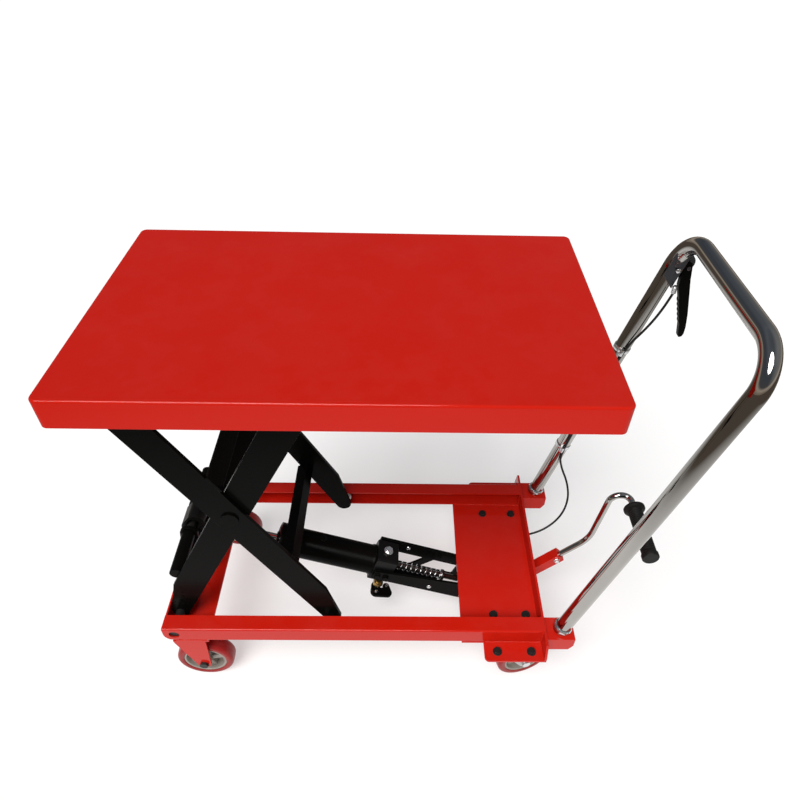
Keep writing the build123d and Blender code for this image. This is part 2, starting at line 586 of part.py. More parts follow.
def rod_head():
    """Eye on the rod's end; its slot gives the crank pin room over the whole lift, and widens
    upwards because the pin goes out along one side of it and back along the other."""
    outline = hulled(disc(0, 0, 20), disc(6.5, 19.5, 20))
    outline -= hulled(disc(0, 0, PIN_RADIUS + 0.3), disc(3.7, 14.6, PIN_RADIUS + 3.8))
    head = Pos(-PUMP_LENGTH, 0, 0) * cut_from_y(outline, -24, 24)
    neck = round_x(-PUMP_LENGTH + 18, -PUMP_LENGTH + 44, 15) - round_x(
        -PUMP_LENGTH + 30, -PUMP_LENGTH + 50, ROD_RADIUS)
    return head + neck - round_y(-PUMP_LENGTH, 0, PIN_RADIUS + 0.3, -30, 30)


pieces["pump_cylinder"] = on_pump(pump_cylinder())
pieces["pump_block"] = on_pump(pump_block())
pieces["pump_frame"] = on_pump(pump_frame())
pieces["release_valve"] = on_pump(release_valve())
pieces["valve_lever"] = on_pump(valve_lever())
pieces["pump_fasteners"] = on_pump(pump_fasteners())
pieces["rod_head"] = on_pump(rod_head())
pieces["piston_rod"] = on_pump(round_x(-PUMP_LENGTH + 30, CYLINDER_START + 45, ROD_RADIUS))
plunger = round_x(BLOCK_END - 8, PEDAL_HINGE_X - 12, PLUNGER_RADIUS) + round_x(
    SPRING_SEAT, SPRING_SEAT + 5, 14)
pieces["pump_plunger"] = on_pump(plunger)
spring = round_x(BLOCK_END + 6.3, SPRING_SEAT - 0.3, 11.5) - round_x(BLOCK_END, SPRING_SEAT, 8)
pieces["plunger_spring"] = on_pump(spring)

# ---------------------------------------------------------------- pedal


def pedal_pivot():
    """Pedal hinge in the table's frame."""
    angle = radians(PUMP_ANGLE)
    return (PUMP_HINGE_X + PEDAL_HINGE_X * cos(angle) + PEDAL_HINGE_Z * sin(angle),
            PUMP_HINGE_Z - PEDAL_HINGE_X * sin(angle) + PEDAL_HINGE_Z * cos(angle))


SOCKET_FOOT, SOCKET_TOP = (806, 128), (874, 200)
GRIP_X, GRIP_Z = 987, 410
PEDAL_BAR_RADIUS = 7


def pedal_arm():
    """Bent square bar: hub on the hinge, finger behind the plunger, socket for the bar."""
    x, z = pedal_pivot()
    half = 12
    run = hypot(SOCKET_FOOT[0] - x, SOCKET_FOOT[1] - z)
    low = Pos(x, 0, z) * Rot(0, -degrees(atan2(SOCKET_FOOT[1] - z, SOCKET_FOOT[0] - x)), 0) * bar(
        0, run + 8, -half, half, -half, half)
    slope = degrees(atan2(SOCKET_TOP[1] - SOCKET_FOOT[1], SOCKET_TOP[0] - SOCKET_FOOT[0]))
    length = hypot(SOCKET_TOP[0] - SOCKET_FOOT[0], SOCKET_TOP[1] - SOCKET_FOOT[1])
    high = Pos(SOCKET_FOOT[0], 0, SOCKET_FOOT[1]) * Rot(0, -slope, 0) * bar(
        -4, length, -half, half, -half, half)
    hub = round_y(x, z, 14, -PUMP_PLATE_Y + 1, PUMP_PLATE_Y - 1)
    finger = on_pump(bar(PEDAL_HINGE_X - 10, PEDAL_HINGE_X + 6, -10, 10, -9, PEDAL_HINGE_Z))
    body = low + high + hub + finger
    body -= round_y(x, z, PEDAL_PIN_RADIUS + RUNNING, -50, 50)
    bore = Pos(SOCKET_FOOT[0], 0, SOCKET_FOOT[1]) * Rot(0, -slope, 0) * round_x(
        length - 22, length + 30, PEDAL_BAR_RADIUS)
    return body - bore


def pedal_bar():
    """Chrome bar from the socket up and round to the grip."""
    slope = atan2(SOCKET_TOP[1] - SOCKET_FOOT[1], SOCKET_TOP[0] - SOCKET_FOOT[0])
    start = (SOCKET_TOP[0] - 18 * cos(slope), 0, SOCKET_TOP[1] - 18 * sin(slope))
    knee = (SOCKET_TOP[0] + 82 * cos(slope), 0, SOCKET_TOP[1] + 82 * sin(slope))
    points = [start, knee, (948, 0, GRIP_Z + 4), (GRIP_X, 0, GRIP_Z), (GRIP_X, -158, GRIP_Z)]
    path = FilletPolyline(*points, radius=[40, 22, 16])
    section = Plane(origin=path @ 0, z_dir=path % 0) * Circle(PEDAL_BAR_RADIUS)
    return sweep(section, path=path)


def pedal_grip():
    body = round_y(GRIP_X, GRIP_Z, 15, -160, -32) + round_y(GRIP_X, GRIP_Z, 22, -40, -32)
    body += round_y(GRIP_X, GRIP_Z, 17, -160, -150)
    return body - round_y(GRIP_X, GRIP_Z, PEDAL_BAR_RADIUS, -158, -31)


pieces["pedal_arm"] = pedal_arm()
pieces["pedal_bar"] = pedal_bar()
pieces["pedal_grip"] = pedal_grip()

# ---------------------------------------------------------------- release lever and cable


def lever_bracket():
    """Two cheeks welded to the far leg and the pivot pin through them."""
    y = HANDLE_Y
    near = make_face(Polyline((leg_x(836) - 15, 840), (leg_x(812) + 14, 812), (leg_x(850) + 14, 850),
                              (1034, 897), (1012, 904), (leg_x(880) - 15, 882), (leg_x(836) - 15, 840)))
    far = hulled((Pos(LEVER_PIVOT_X + 4, LEVER_PIVOT_Z - 2) * Circle(17)).edges(),
                 Polyline((leg_x(836) - 6, 840), (leg_x(800) + 12, 800), (1034, 884), (leg_x(836) - 6, 840)).edges())
    near_cheek = cut_from_y(near, y - HANDLE_RADIUS - 3, y - HANDLE_RADIUS)
    far_cheek = cut_from_y(far, y + HANDLE_RADIUS, y + HANDLE_RADIUS + 3)
    pin = round_y(LEVER_PIVOT_X, LEVER_PIVOT_Z, 4, y - 10, y + HANDLE_RADIUS + 5)
    screw = round_y(leg_x(864) - 2, 864, 5, y - HANDLE_RADIUS - 6, y - HANDLE_RADIUS - 3)
    return Compound(children=[near_cheek, far_cheek, pin, screw])


def release_lever():
    """Cast lever blade hanging from its pin, finger side towards the leg."""
    x, z = LEVER_PIVOT_X, LEVER_PIVOT_Z
    outline = Polyline((x - 9, z + 6), (x - 2, z + 12), (x + 6, z + 8), (x + 12, z - 24), (x + 20, z - 57),
                       (x + 31, z - 103), (x + 37, z - 134), (x + 37, z - 156), (x + 26, z - 159),
                       (x + 20, z - 127), (x + 2, z - 69), (x - 7, z - 40), (x - 9, z + 6))
    blade = cut_from_y(make_face(outline), HANDLE_Y - 7, HANDLE_Y + 7)
    return blade - round_y(x, z, 4 + RUNNING, HANDLE_Y - 20, HANDLE_Y + 20)


def leg_side(z, out=0):
    """Point beside the far leg where the cable is clipped to it."""
    return (leg_x(z) - 6 + out, HANDLE_Y - HANDLE_RADIUS - CABLE_RADIUS - 1.4, z)


CABLE_POINTS = [(1014, 168.5, 806), (1011, 169, 770), (995, 171, 722), leg_side(670), leg_side(362),
                (886, 170, 318), (907, 158, 276), (915, 140, 232), (900, 120, 190), (862, 104, 158),
                (815, 94, 146), (772, 84, 146)]
PUMP_CABLE_POINTS = [(-6, 44.8, -38), (-52, 45.5, -43), (-98, 42, -50), (-140, 32, -57), (-172, 15, -62),
                     (-192, 2, -64)]


def cord_tube(points, radius):
    """Tube on straight runs joined by arcs as large as their runs allow."""
    corners = [Vector(*point) for point in points]
    radii = []
    for before, here, after in zip(corners, corners[1:], corners[2:]):
        turn = radians((here - before).get_angle(after - here))
        run = min((here - before).length, (after - here).length)
        radii.append(0.45 * run / tan(turn / 2))
    print("cable radii", [round(value) for value in radii])
    path = FilletPolyline(*corners, radius=radii)
    section = Plane(origin=path @ 0, z_dir=path % 0) * Circle(radius)
    tube = sweep(section, path=path)
    print("cable length", round(path.length), "volume ratio", tube.volume / (path.length * section.area))
    return tube


def cable_clips():
    """Straps round the leg and the cable, the adjuster barrel, and the stop under the bridge."""
    group = []
    for z in (660, 374):
        place = Pos(leg_x(z), HANDLE_Y, z) * Rot(0, HANDLE_LEAN, 0)
        strap = round_z(0, 0, HANDLE_RADIUS + 1.5, -5, 5) - round_z(0, 0, HANDLE_RADIUS, -6, 6)
        group.append(place * strap)
    group.append(Pos(1014, 168.5, 816) * round_z(0, 0, 5, -9.2, 6))
    stop = bar(760, 772, 76, 92, 140, RAIL_Z - PLATE)
    group.append(stop)
    return Compound(children=group)


pieces["lever_bracket"] = lever_bracket()
pieces["release_lever"] = release_lever()
pieces["release_cable"] = cord_tube(CABLE_POINTS, CABLE_RADIUS)
pieces["pump_cable"] = on_pump(cord_tube(PUMP_CABLE_POINTS, CABLE_RADIUS))
pieces["cable_clips"] = cable_clips()

# ---------------------------------------------------------------- place and write

boxes = [shape.bounding_box() for shape in pieces.values()]
LEFT_END = min(box.min.X for box in boxes)
RIGHT_END = max(box.max.X for box in boxes)
SHIFT_X = -(LEFT_END + RIGHT_END) / 2
print("length", RIGHT_END - LEFT_END, "shift", SHIFT_X)
print("degrees of travel: scissor", SCISSOR_TRAVEL, "pedal", PEDAL_TRAVEL, "lever", LEVER_TRAVEL)

os.makedirs("parts", exist_ok=True)
for node, shape in pieces.items():
    export_step(Pos(SHIFT_X, 0, 0) * shape, f"parts/{node}.step")
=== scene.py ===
# Hand-pumped scissor lift table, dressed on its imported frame. Metres, +Z up, +X towards the push
# handle, -Y is the near side. Each section is one real piece or one group of like pieces, in the
# order in which the table is put together.
import json
from math import atan2, cos, pi, radians, sin, tan

import bpy
from mathutils import Matrix, Vector
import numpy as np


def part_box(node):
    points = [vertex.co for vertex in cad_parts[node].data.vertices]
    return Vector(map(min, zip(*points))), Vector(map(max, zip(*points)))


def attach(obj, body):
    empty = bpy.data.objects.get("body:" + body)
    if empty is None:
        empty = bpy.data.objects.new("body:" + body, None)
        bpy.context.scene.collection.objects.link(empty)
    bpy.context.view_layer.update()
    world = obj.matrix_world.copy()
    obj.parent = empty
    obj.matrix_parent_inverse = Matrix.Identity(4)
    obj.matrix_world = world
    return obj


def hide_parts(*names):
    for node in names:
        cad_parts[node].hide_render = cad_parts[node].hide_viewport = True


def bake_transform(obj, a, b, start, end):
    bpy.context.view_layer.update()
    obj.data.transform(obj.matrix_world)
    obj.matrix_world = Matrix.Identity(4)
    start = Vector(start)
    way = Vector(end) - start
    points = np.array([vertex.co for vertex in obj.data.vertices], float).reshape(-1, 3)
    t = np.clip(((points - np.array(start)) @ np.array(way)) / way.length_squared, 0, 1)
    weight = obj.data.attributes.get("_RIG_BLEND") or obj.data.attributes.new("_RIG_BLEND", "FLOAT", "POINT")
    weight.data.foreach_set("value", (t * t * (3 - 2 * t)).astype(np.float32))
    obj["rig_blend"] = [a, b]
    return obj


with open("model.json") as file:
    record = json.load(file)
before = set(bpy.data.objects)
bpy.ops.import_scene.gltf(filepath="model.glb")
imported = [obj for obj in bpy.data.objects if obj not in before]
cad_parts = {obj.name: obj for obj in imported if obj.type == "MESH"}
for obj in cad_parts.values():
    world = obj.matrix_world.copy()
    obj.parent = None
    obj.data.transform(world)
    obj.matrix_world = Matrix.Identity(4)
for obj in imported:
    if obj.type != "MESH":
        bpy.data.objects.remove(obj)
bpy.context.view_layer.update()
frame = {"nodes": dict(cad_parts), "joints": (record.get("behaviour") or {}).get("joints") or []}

# ------------------------------------------------------------------ camera
# A standing person looks down on the near long side from a little left of the middle. The lens is
# a moderate wide one, and the small shift is the framing of the view.
EYE = (-0.0395, -0.8833, 1.4372)
EYE_HEADING, EYE_DIP, EYE_ROLL = -1.40, 42.3, 1.60
lens = bpy.data.cameras.new("camera")
lens.lens, lens.sensor_width = 28.51, 36.0
lens.shift_x, lens.shift_y = -0.0160, 0.0203
camera = bpy.data.objects.new("camera", lens)
bpy.context.scene.collection.objects.link(camera)
heading = Matrix.Rotation(radians(EYE_HEADING), 4, "Z")
dip = Matrix.Rotation(radians(90 - EYE_DIP), 4, "X")
roll = Matrix.Rotation(radians(EYE_ROLL), 4, "Z")
camera.matrix_world = Matrix.Translation(EYE) @ heading @ dip @ roll
bpy.context.scene.camera = camera

# ------------------------------------------------------------------ base rails
# Two rolled steel channels, open towards the middle, sprayed with glossy red enamel. The rolls
# leave their corners round, and the spray leaves a faint orange peel.
MM = 0.001
LEFT_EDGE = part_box("table_top")[0].x


def at(x, y, z):
    """Point given in millimetres from the tray's left edge, the middle line and the floor."""
    return Vector((LEFT_EDGE + x * MM, y * MM, z * MM))


def choose(*pieces):
    """Select these pieces alone, the last one active."""
    bpy.ops.object.select_all(action="DESELECT")
    for piece in pieces:
        piece.select_set(True)
    bpy.context.view_layer.objects.active = pieces[-1]


def added(name, data):
    """New object in the scene."""
    piece = bpy.data.objects.new(name, data)
    bpy.context.scene.collection.objects.link(piece)
    return piece


def new_piece(name, points, edges=(), faces=()):
    mesh = bpy.data.meshes.new(name)
    mesh.from_pydata(points, edges, faces)
    return added(name, mesh)


def round_bar(name, radius, resolution, count, kind="POLY"):
    """Curve object with a round section, and its line of count points, still to be placed."""
    curve = bpy.data.curves.new(name, "CURVE")
    curve.dimensions, curve.bevel_depth, curve.bevel_resolution = "3D", radius * MM, resolution
    curve.use_fill_caps = True
    line = curve.splines.new(kind)
    line.points.add(count - 1)
    return added(name, curve), line


def apply_modifier(piece, kind, **settings):
    modifier = piece.modifiers.new(kind.lower(), kind)
    for setting, value in settings.items():
        setattr(modifier, setting, value)
    choose(piece)
    bpy.ops.object.modifier_apply(modifier=modifier.name)


def soften(piece, radius, segments=2, angle=35):
    """Round the edges by radius millimetres and shade the flats flat."""
    if radius:
        apply_modifier(piece, "BEVEL", width=radius * MM, segments=segments, limit_method="ANGLE",
                       angle_limit=radians(angle))
    choose(piece)
    bpy.ops.object.shade_smooth_by_angle(angle=radians(40))
    apply_modifier(piece, "WEIGHTED_NORMAL", keep_sharp=True)
    return piece


def rounded_copy(name, node, radius, segments=2):
    """Merged copy of a CAD node's mesh with its edges rounded: the node's own shape, finished."""
    piece = added(name, frame["nodes"][node].data.copy())
    choose(piece)
    bpy.ops.mesh.customdata_custom_splitnormals_clear()
    bpy.ops.object.mode_set(mode="EDIT")
    bpy.ops.mesh.select_all(action="SELECT")
    bpy.ops.mesh.remove_doubles(threshold=0.005 * MM)
    bpy.ops.mesh.dissolve_limited(angle_limit=radians(0.3))
    bpy.ops.object.mode_set(mode="OBJECT")
    return soften(piece, radius, segments)


def fit(piece, body, slot, material, *nodes):
    """Finish a piece: its paint, the body it moves with, and the CAD nodes it stands for; slot is not used.
    """
    piece.data.materials.clear()
    piece.data.materials.append(material)
    if "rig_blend" not in piece:
        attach(piece, body)
    if nodes:
        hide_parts(*nodes)
    return piece


def dress(name, node, rounding, body, slot, material, segments=2):
    """Finished copy of a CAD node in that node's place."""
    return fit(rounded_copy(name, node, rounding, segments), body, slot, material, node)


def put(tree, kind, **values):
    """Add a shader node; each value is an input's, or else a setting's."""
    node = tree.nodes.new("ShaderNode" + kind)
    for key, value in values.items():
        label = key.replace("_", " ")
        if label in node.inputs:
            node.inputs[label].default_value = value
        else:
            setattr(node, key, value)
    return node


def link(tree, source, output, target, entry):
    tree.links.new(source.outputs[output], target.inputs[entry])


COLOUR_A, COLOUR_B, COLOUR_RESULT = 6, 7, 2


def colour_mix(tree, factor, first, second):
    """Mix of two colours; each is a socket or a plain colour."""
    mix = put(tree, "Mix", data_type="RGBA")
    tree.links.new(factor, mix.inputs[0])
    for place, colour in ((COLOUR_A, first), (COLOUR_B, second)):
        if isinstance(colour, bpy.types.NodeSocket):
            tree.links.new(colour, mix.inputs[place])
        else:
            mix.inputs[place].default_value = (*colour, 1)
    return mix.outputs[COLOUR_RESULT]


def new_group(name, inputs, outputs):
    """Empty shader group; inputs are (label, kind, value), outputs are (label, kind)."""
    group = bpy.data.node_groups.new(name, "ShaderNodeTree")
    for label, kind, value in inputs:
        socket = group.interface.new_socket(label, in_out="INPUT", socket_type="NodeSocket" + kind)
        socket.default_value = value
    for label, kind in outputs:
        group.interface.new_socket(label, in_out="OUTPUT", socket_type="NodeSocket" + kind)
    return group, group.nodes.new("NodeGroupInput").outputs, group.nodes.new("NodeGroupOutput").inputs


def use_group(tree, group, **values):
    node = tree.nodes.new("ShaderNodeGroup")
    node.node_tree = group
    for key, value in values.items():
        socket = node.inputs[key.replace("_", " ")]
        if isinstance(value, bpy.types.NodeSocket):
            tree.links.new(value, socket)
        else:
            socket.default_value = value
    return node


# Uneven coat: the thickness of a sprayed or plated coat drifts, so its shade and gloss drift too.
uneven_coat, coat_in, coat_out = new_group(
    "uneven_coat",
    [("Colour", "Color", (1, 1, 1, 1)), ("Other Colour", "Color", (1, 1, 1, 1)), ("Scale", "Float", 8.0),
     ("Gloss Low", "Float", 0.1), ("Gloss High", "Float", 0.2)],
    [("Colour", "Color"), ("Roughness", "Float")])
coat_place = put(uneven_coat, "TexCoord")
coat_cloud = put(uneven_coat, "TexNoise", Detail=5.0, Roughness=0.6)
link(uneven_coat, coat_place, "Object", coat_cloud, "Vector")
uneven_coat.links.new(coat_in["Scale"], coat_cloud.inputs["Scale"])
coat_span = put(uneven_coat, "MapRange", From_Min=0.3, From_Max=0.7)
link(uneven_coat, coat_cloud, "Fac", coat_span, "Value")
uneven_coat.links.new(coat_in["Gloss Low"], coat_span.inputs["To Min"])
uneven_coat.links.new(coat_in["Gloss High"], coat_span.inputs["To Max"])
uneven_coat.links.new(coat_span.outputs["Result"], coat_out["Roughness"])
uneven_coat.links.new(
    colour_mix(uneven_coat, coat_cloud.outputs["Fac"], coat_in["Colour"], coat_in["Other Colour"]),
    coat_out["Colour"])

# Edge wear and highlight: a paler colour along sharp edges, in patches. On most finishes it is handling
# thinning the coat to a paler layer; on the black enamel and the dark lever cheeks it is a painted highlight.
edge_wear_and_highlight, edge_in, edge_out = new_group(
    "edge_wear_and_highlight",
    [("Colour", "Color", (1, 1, 1, 1)), ("Rubbed Colour", "Color", (0.5, 0.5, 0.5, 1)),
     ("Width", "Float", 0.0012), ("Amount", "Float", 0.5), ("Patch Scale", "Float", 60.0)],
    [("Colour", "Color"), ("Mask", "Float")])
edge_round = put(edge_wear_and_highlight, "Bevel", samples=4)
edge_flat = put(edge_wear_and_highlight, "NewGeometry")
edge_turn = put(edge_wear_and_highlight, "VectorMath", operation="DOT_PRODUCT")
edge_wear_and_highlight.links.new(edge_in["Width"], edge_round.inputs["Radius"])
link(edge_wear_and_highlight, edge_round, "Normal", edge_turn, 0)
link(edge_wear_and_highlight, edge_flat, "Normal", edge_turn, 1)
edge_band = put(edge_wear_and_highlight, "MapRange", From_Min=0.998, From_Max=0.90)
link(edge_wear_and_highlight, edge_turn, "Value", edge_band, "Value")
edge_place = put(edge_wear_and_highlight, "TexCoord")
edge_patch = put(edge_wear_and_highlight, "TexNoise", Detail=4.0)
link(edge_wear_and_highlight, edge_place, "Object", edge_patch, "Vector")
edge_wear_and_highlight.links.new(edge_in["Patch Scale"], edge_patch.inputs["Scale"])
edge_break = put(edge_wear_and_highlight, "MapRange", From_Min=0.38, From_Max=0.62)
link(edge_wear_and_highlight, edge_patch, "Fac", edge_break, "Value")
edge_some = put(edge_wear_and_highlight, "Math", operation="MULTIPLY")
link(edge_wear_and_highlight, edge_band, "Result", edge_some, 0)
link(edge_wear_and_highlight, edge_break, "Result", edge_some, 1)
wear_and_highlight_mask = put(edge_wear_and_highlight, "Math", operation="MULTIPLY")
link(edge_wear_and_highlight, edge_some, "Value", wear_and_highlight_mask, 0)
edge_wear_and_highlight.links.new(edge_in["Amount"], wear_and_highlight_mask.inputs[1])
edge_wear_and_highlight.links.new(wear_and_highlight_mask.outputs["Value"], edge_out["Mask"])
edge_wear_and_highlight.links.new(
    colour_mix(edge_wear_and_highlight, wear_and_highlight_mask.outputs["Value"], edge_in["Colour"], edge_in["Rubbed Colour"]),
    edge_out["Colour"])

# Shop dust: a thin pale film on faces that look up, thicker in drifts.
shop_dust, dust_in, dust_out = new_group(
    "shop_dust",
    [("Colour", "Color", (1, 1, 1, 1)), ("Roughness", "Float", 0.2), ("Amount", "Float", 0.05)],
    [("Colour", "Color"), ("Roughness", "Float")])
dust_face = put(shop_dust, "NewGeometry")
dust_up = put(shop_dust, "SeparateXYZ")
link(shop_dust, dust_face, "Normal", dust_up, "Vector")
dust_flat = put(shop_dust, "MapRange", From_Min=0.5, From_Max=1.0)
link(shop_dust, dust_up, "Z", dust_flat, "Value")
dust_place = put(shop_dust, "TexCoord")
dust_drift = put(shop_dust, "TexNoise", Scale=14.0, Detail=8.0, Roughness=0.7)
link(shop_dust, dust_place, "Object", dust_drift, "Vector")
dust_drifts = put(shop_dust, "MapRange", From_Min=0.42, From_Max=0.72)
link(shop_dust, dust_drift, "Fac", dust_drifts, "Value")
dust_cover = put(shop_dust, "Math", operation="MULTIPLY")
link(shop_dust, dust_flat, "Result", dust_cover, 0)
link(shop_dust, dust_drifts, "Result", dust_cover, 1)
dust_mask = put(shop_dust, "Math", operation="MULTIPLY")
link(shop_dust, dust_cover, "Value", dust_mask, 0)
shop_dust.links.new(dust_in["Amount"], dust_mask.inputs[1])
shop_dust.links.new(
    colour_mix(shop_dust, dust_mask.outputs["Value"], dust_in["Colour"], (0.52, 0.47, 0.42)),
    dust_out["Colour"])
dust_matt = put(shop_dust, "Math", operation="ADD")
shop_dust.links.new(dust_in["Roughness"], dust_matt.inputs[0])
link(shop_dust, dust_mask, "Value", dust_matt, 1)
shop_dust.links.new(dust_matt.outputs["Value"], dust_out["Roughness"])


def sprayed(name, colour, other, worn_and_highlight_colour, gloss, peel, wear_and_highlight=0.5, dust=0.05, metallic=0.0, scale=8.0,
            grain=700.0, sheen=0.5):
    """Sprayed, moulded or plated finish: uneven coat, paler edges (wear; a painted highlight on some), dust
    and a fine skin texture.
    """
    material = bpy.data.materials.new(name)
    material.use_nodes = True
    tree = material.node_tree
    surface = tree.nodes["Principled BSDF"]
    coat = use_group(tree, uneven_coat, Colour=(*colour, 1), Other_Colour=(*other, 1), Scale=scale,
                     Gloss_Low=gloss[0], Gloss_High=gloss[1])
    edge = use_group(tree, edge_wear_and_highlight, Colour=coat.outputs["Colour"], Rubbed_Colour=(*worn_and_highlight_colour, 1), Amount=wear_and_highlight)
    film = use_group(tree, shop_dust, Colour=edge.outputs["Colour"], Roughness=coat.outputs["Roughness"],
                     Amount=dust)
    link(tree, film, "Colour", surface, "Base Color")
    link(tree, film, "Roughness", surface, "Roughness")
    surface.inputs["Metallic"].default_value = metallic
    surface.inputs["Specular IOR Level"].default_value = sheen
    place = put(tree, "TexCoord")
    skin = put(tree, "TexNoise", Scale=grain, Detail=2.0)
    link(tree, place, "Object", skin, "Vector")
    relief = put(tree, "Bump", Strength=peel, Distance=0.0002)
    link(tree, skin, "Fac", relief, "Height")
    link(tree, relief, "Normal", surface, "Normal")
    return material


RED, DEEP_RED, RUBBED_RED = (0.53, 0.012, 0.0045), (0.48, 0.010, 0.004), (0.64, 0.07, 0.035)
red_enamel = sprayed("red_enamel", RED, DEEP_RED, RUBBED_RED, (0.06, 0.12), 0.05, wear_and_highlight=0.35, dust=0.012,
                     scale=3.0, sheen=0.2)
for side in ("near", "far"):
    dress(f"rail_{side}", f"base_rail_{side}", 0.5, "chassis", "red_paint", red_enamel)

# ------------------------------------------------------------------ cross plate and bridge plate
# The two folded plates that hold the rails apart: a narrow one under the fixed pivots, and a wide
# one with wings over the castors and a standing flange for the handle. Guillotined, then enamelled.
dress("cross_plate", "front_cross_plate", 0.8, "chassis", "red_paint", red_enamel)
dress("bridge_plate", "rear_bridge_plate", 0.8, "chassis", "red_paint", red_enamel)

# ------------------------------------------------------------------ frame welds
# Hand-laid weld runs under the paint: rails to plates, flange to rails, sockets and ears to the
# bridge plate. Each ripple is one dab of the torch.
RAIL_INSIDE, RAIL_OUTSIDE, RAIL_FOOT, RAIL_HEAD = 172, 206, 170, 213


def ripple_line(points, radius, pitch=1.6):
    """Weld run along a line of points: a cord of ripples, pitch millimetres apart."""
    steps = []
    for first, last in zip(points, points[1:]):
        count = max(2, round((last - first).length / (pitch / 4 * MM)))
        steps += [first.lerp(last, i / count) for i in range(count)]
    steps.append(points[-1])
    run, line = round_bar("run", radius, 2, len(steps))
    for i, (point, place) in enumerate(zip(line.points, steps)):
        sway = 0.12 * radius * MM * sin(i * 0.21 + len(steps))
        point.co = (place.x + sway, place.y + sway, place.z, 1)
        point.radius = 0.86 + 0.13 * abs(sin(i * pi / 4)) + 0.06 * sin(i * 0.37)
    line.points[0].radius = line.points[-1].radius = 0.5
    choose(run)
    bpy.ops.object.convert(target="MESH")
    bpy.ops.object.shade_smooth()
    return run


def joined(name, pieces):
    """Like pieces made into one."""
    choose(*pieces)
    bpy.ops.object.join()
    result = bpy.context.view_layer.objects.active
    result.name = result.data.name = name
    return result


def weld_runs(name, lines):
    """One piece of weld runs; each line is two points in millimetres and the run's radius."""
    return joined(name, [ripple_line([at(*first), at(*last)], radius) for first, last, radius in lines])


BRIDGE_X, WING_X, FLANGE_X = 632, 678, 801
CROSS_START, NOSE_END, CROSS_END, FORK_START, FORK_INSIDE, FORK_TOP = 12, 30, 88, 18, 155.5, 164.5
lines = []
for sign in (-1, 1):
    inside, outside, fork_line = sign * RAIL_INSIDE, sign * RAIL_OUTSIDE, sign * FORK_INSIDE
    edge = outside - sign * 0.5
    lines += [((BRIDGE_X + 4, inside, RAIL_FOOT), (FLANGE_X, inside, RAIL_FOOT), 2.2),
              ((WING_X + 4, outside, RAIL_FOOT), (FLANGE_X, outside, RAIL_FOOT), 2.4),
              ((FLANGE_X, outside, RAIL_FOOT), (FLANGE_X, outside, RAIL_HEAD), 1.8),
              ((FLANGE_X, inside, RAIL_FOOT), (FLANGE_X, inside, RAIL_HEAD), 1.8),
              ((CROSS_START, inside, RAIL_FOOT), (CROSS_END, inside, RAIL_FOOT), 2.2),
              ((NOSE_END, edge, RAIL_FOOT), (CROSS_END, edge, RAIL_FOOT), 1.6),
              ((FORK_START, fork_line, FORK_TOP), (CROSS_END, fork_line, FORK_TOP), 2.0)]
frame_welds = weld_runs("frame_welds", lines)
fit(frame_welds, "chassis", "red_paint", red_enamel)

# ------------------------------------------------------------------ bridge bolts
# Eight hexagon bolts, blackened, each on a washer: four through each wing into a castor plate.
# Rolled threads show under the nuts.


def moved(piece, matrix):
    """Place a piece in its mesh, so that its object stays at the origin."""
    piece.data.transform(matrix)
    if matrix.determinant() < 0:
        piece.data.flip_normals()
    return piece


def hexagon(name, radius, height, low=0.0, chamfer=0.12):
    """Hexagon head or nut standing on z = low, its top corners turned off."""
    bpy.ops.object.select_all(action="DESELECT")
    bpy.ops.mesh.primitive_cylinder_add(vertices=6, radius=radius * MM, depth=height * MM,
                                        location=(0, 0, (low + height / 2) * MM))
    head = bpy.context.view_layer.objects.active
    head.name = name
    bpy.ops.object.transform_apply(location=True, rotation=True, scale=True)
    bpy.ops.object.mode_set(mode="EDIT")
    bpy.ops.mesh.select_mode(type="FACE")
    bpy.ops.mesh.select_all(action="DESELECT")
    bpy.ops.object.mode_set(mode="OBJECT")
    for face in head.data.polygons:
        face.select = face.normal.z > 0.9
    bpy.ops.object.mode_set(mode="EDIT")
    bpy.ops.mesh.inset(thickness=chamfer * radius * MM)
    bpy.ops.transform.translate(value=(0, 0, 0.06 * height * MM))
    bpy.ops.mesh.inset(thickness=0.1 * radius * MM)
    bpy.ops.object.mode_set(mode="OBJECT")
    return head


def turned(name, profile, steps=48, closed=False):
    """Lathe work about Z: profile points are (radius, height) in millimetres."""
    edges = [(i, i + 1) for i in range(len(profile) - 1)]
    if closed:
        edges.append((len(profile) - 1, 0))
    piece = new_piece(name, [(r * MM, 0, z * MM) for r, z in profile], edges)
    choose(piece)
    bpy.ops.object.mode_set(mode="EDIT")
    bpy.ops.mesh.select_all(action="SELECT")
    bpy.ops.mesh.spin(steps=steps, angle=2 * pi, center=(0, 0, 0), axis=(0, 0, 1))
    bpy.ops.mesh.select_all(action="SELECT")
    bpy.ops.mesh.remove_doubles(threshold=0.002 * MM)
    bpy.ops.mesh.normals_make_consistent(inside=False)
    bpy.ops.object.mode_set(mode="OBJECT")
    bpy.ops.object.shade_smooth_by_angle(angle=radians(35))
    return piece


def placed_copies(name, pattern, matrices):
    """Copies of a pattern piece at each matrix, joined; the pattern itself goes."""
    copies = []
    for matrix in matrices:
        copy = bpy.data.objects.new(name, pattern.data.copy())
        bpy.context.scene.collection.objects.link(copy)
        copies.append(moved(copy, matrix))
    bpy.data.objects.remove(pattern)
    return joined(name, copies)


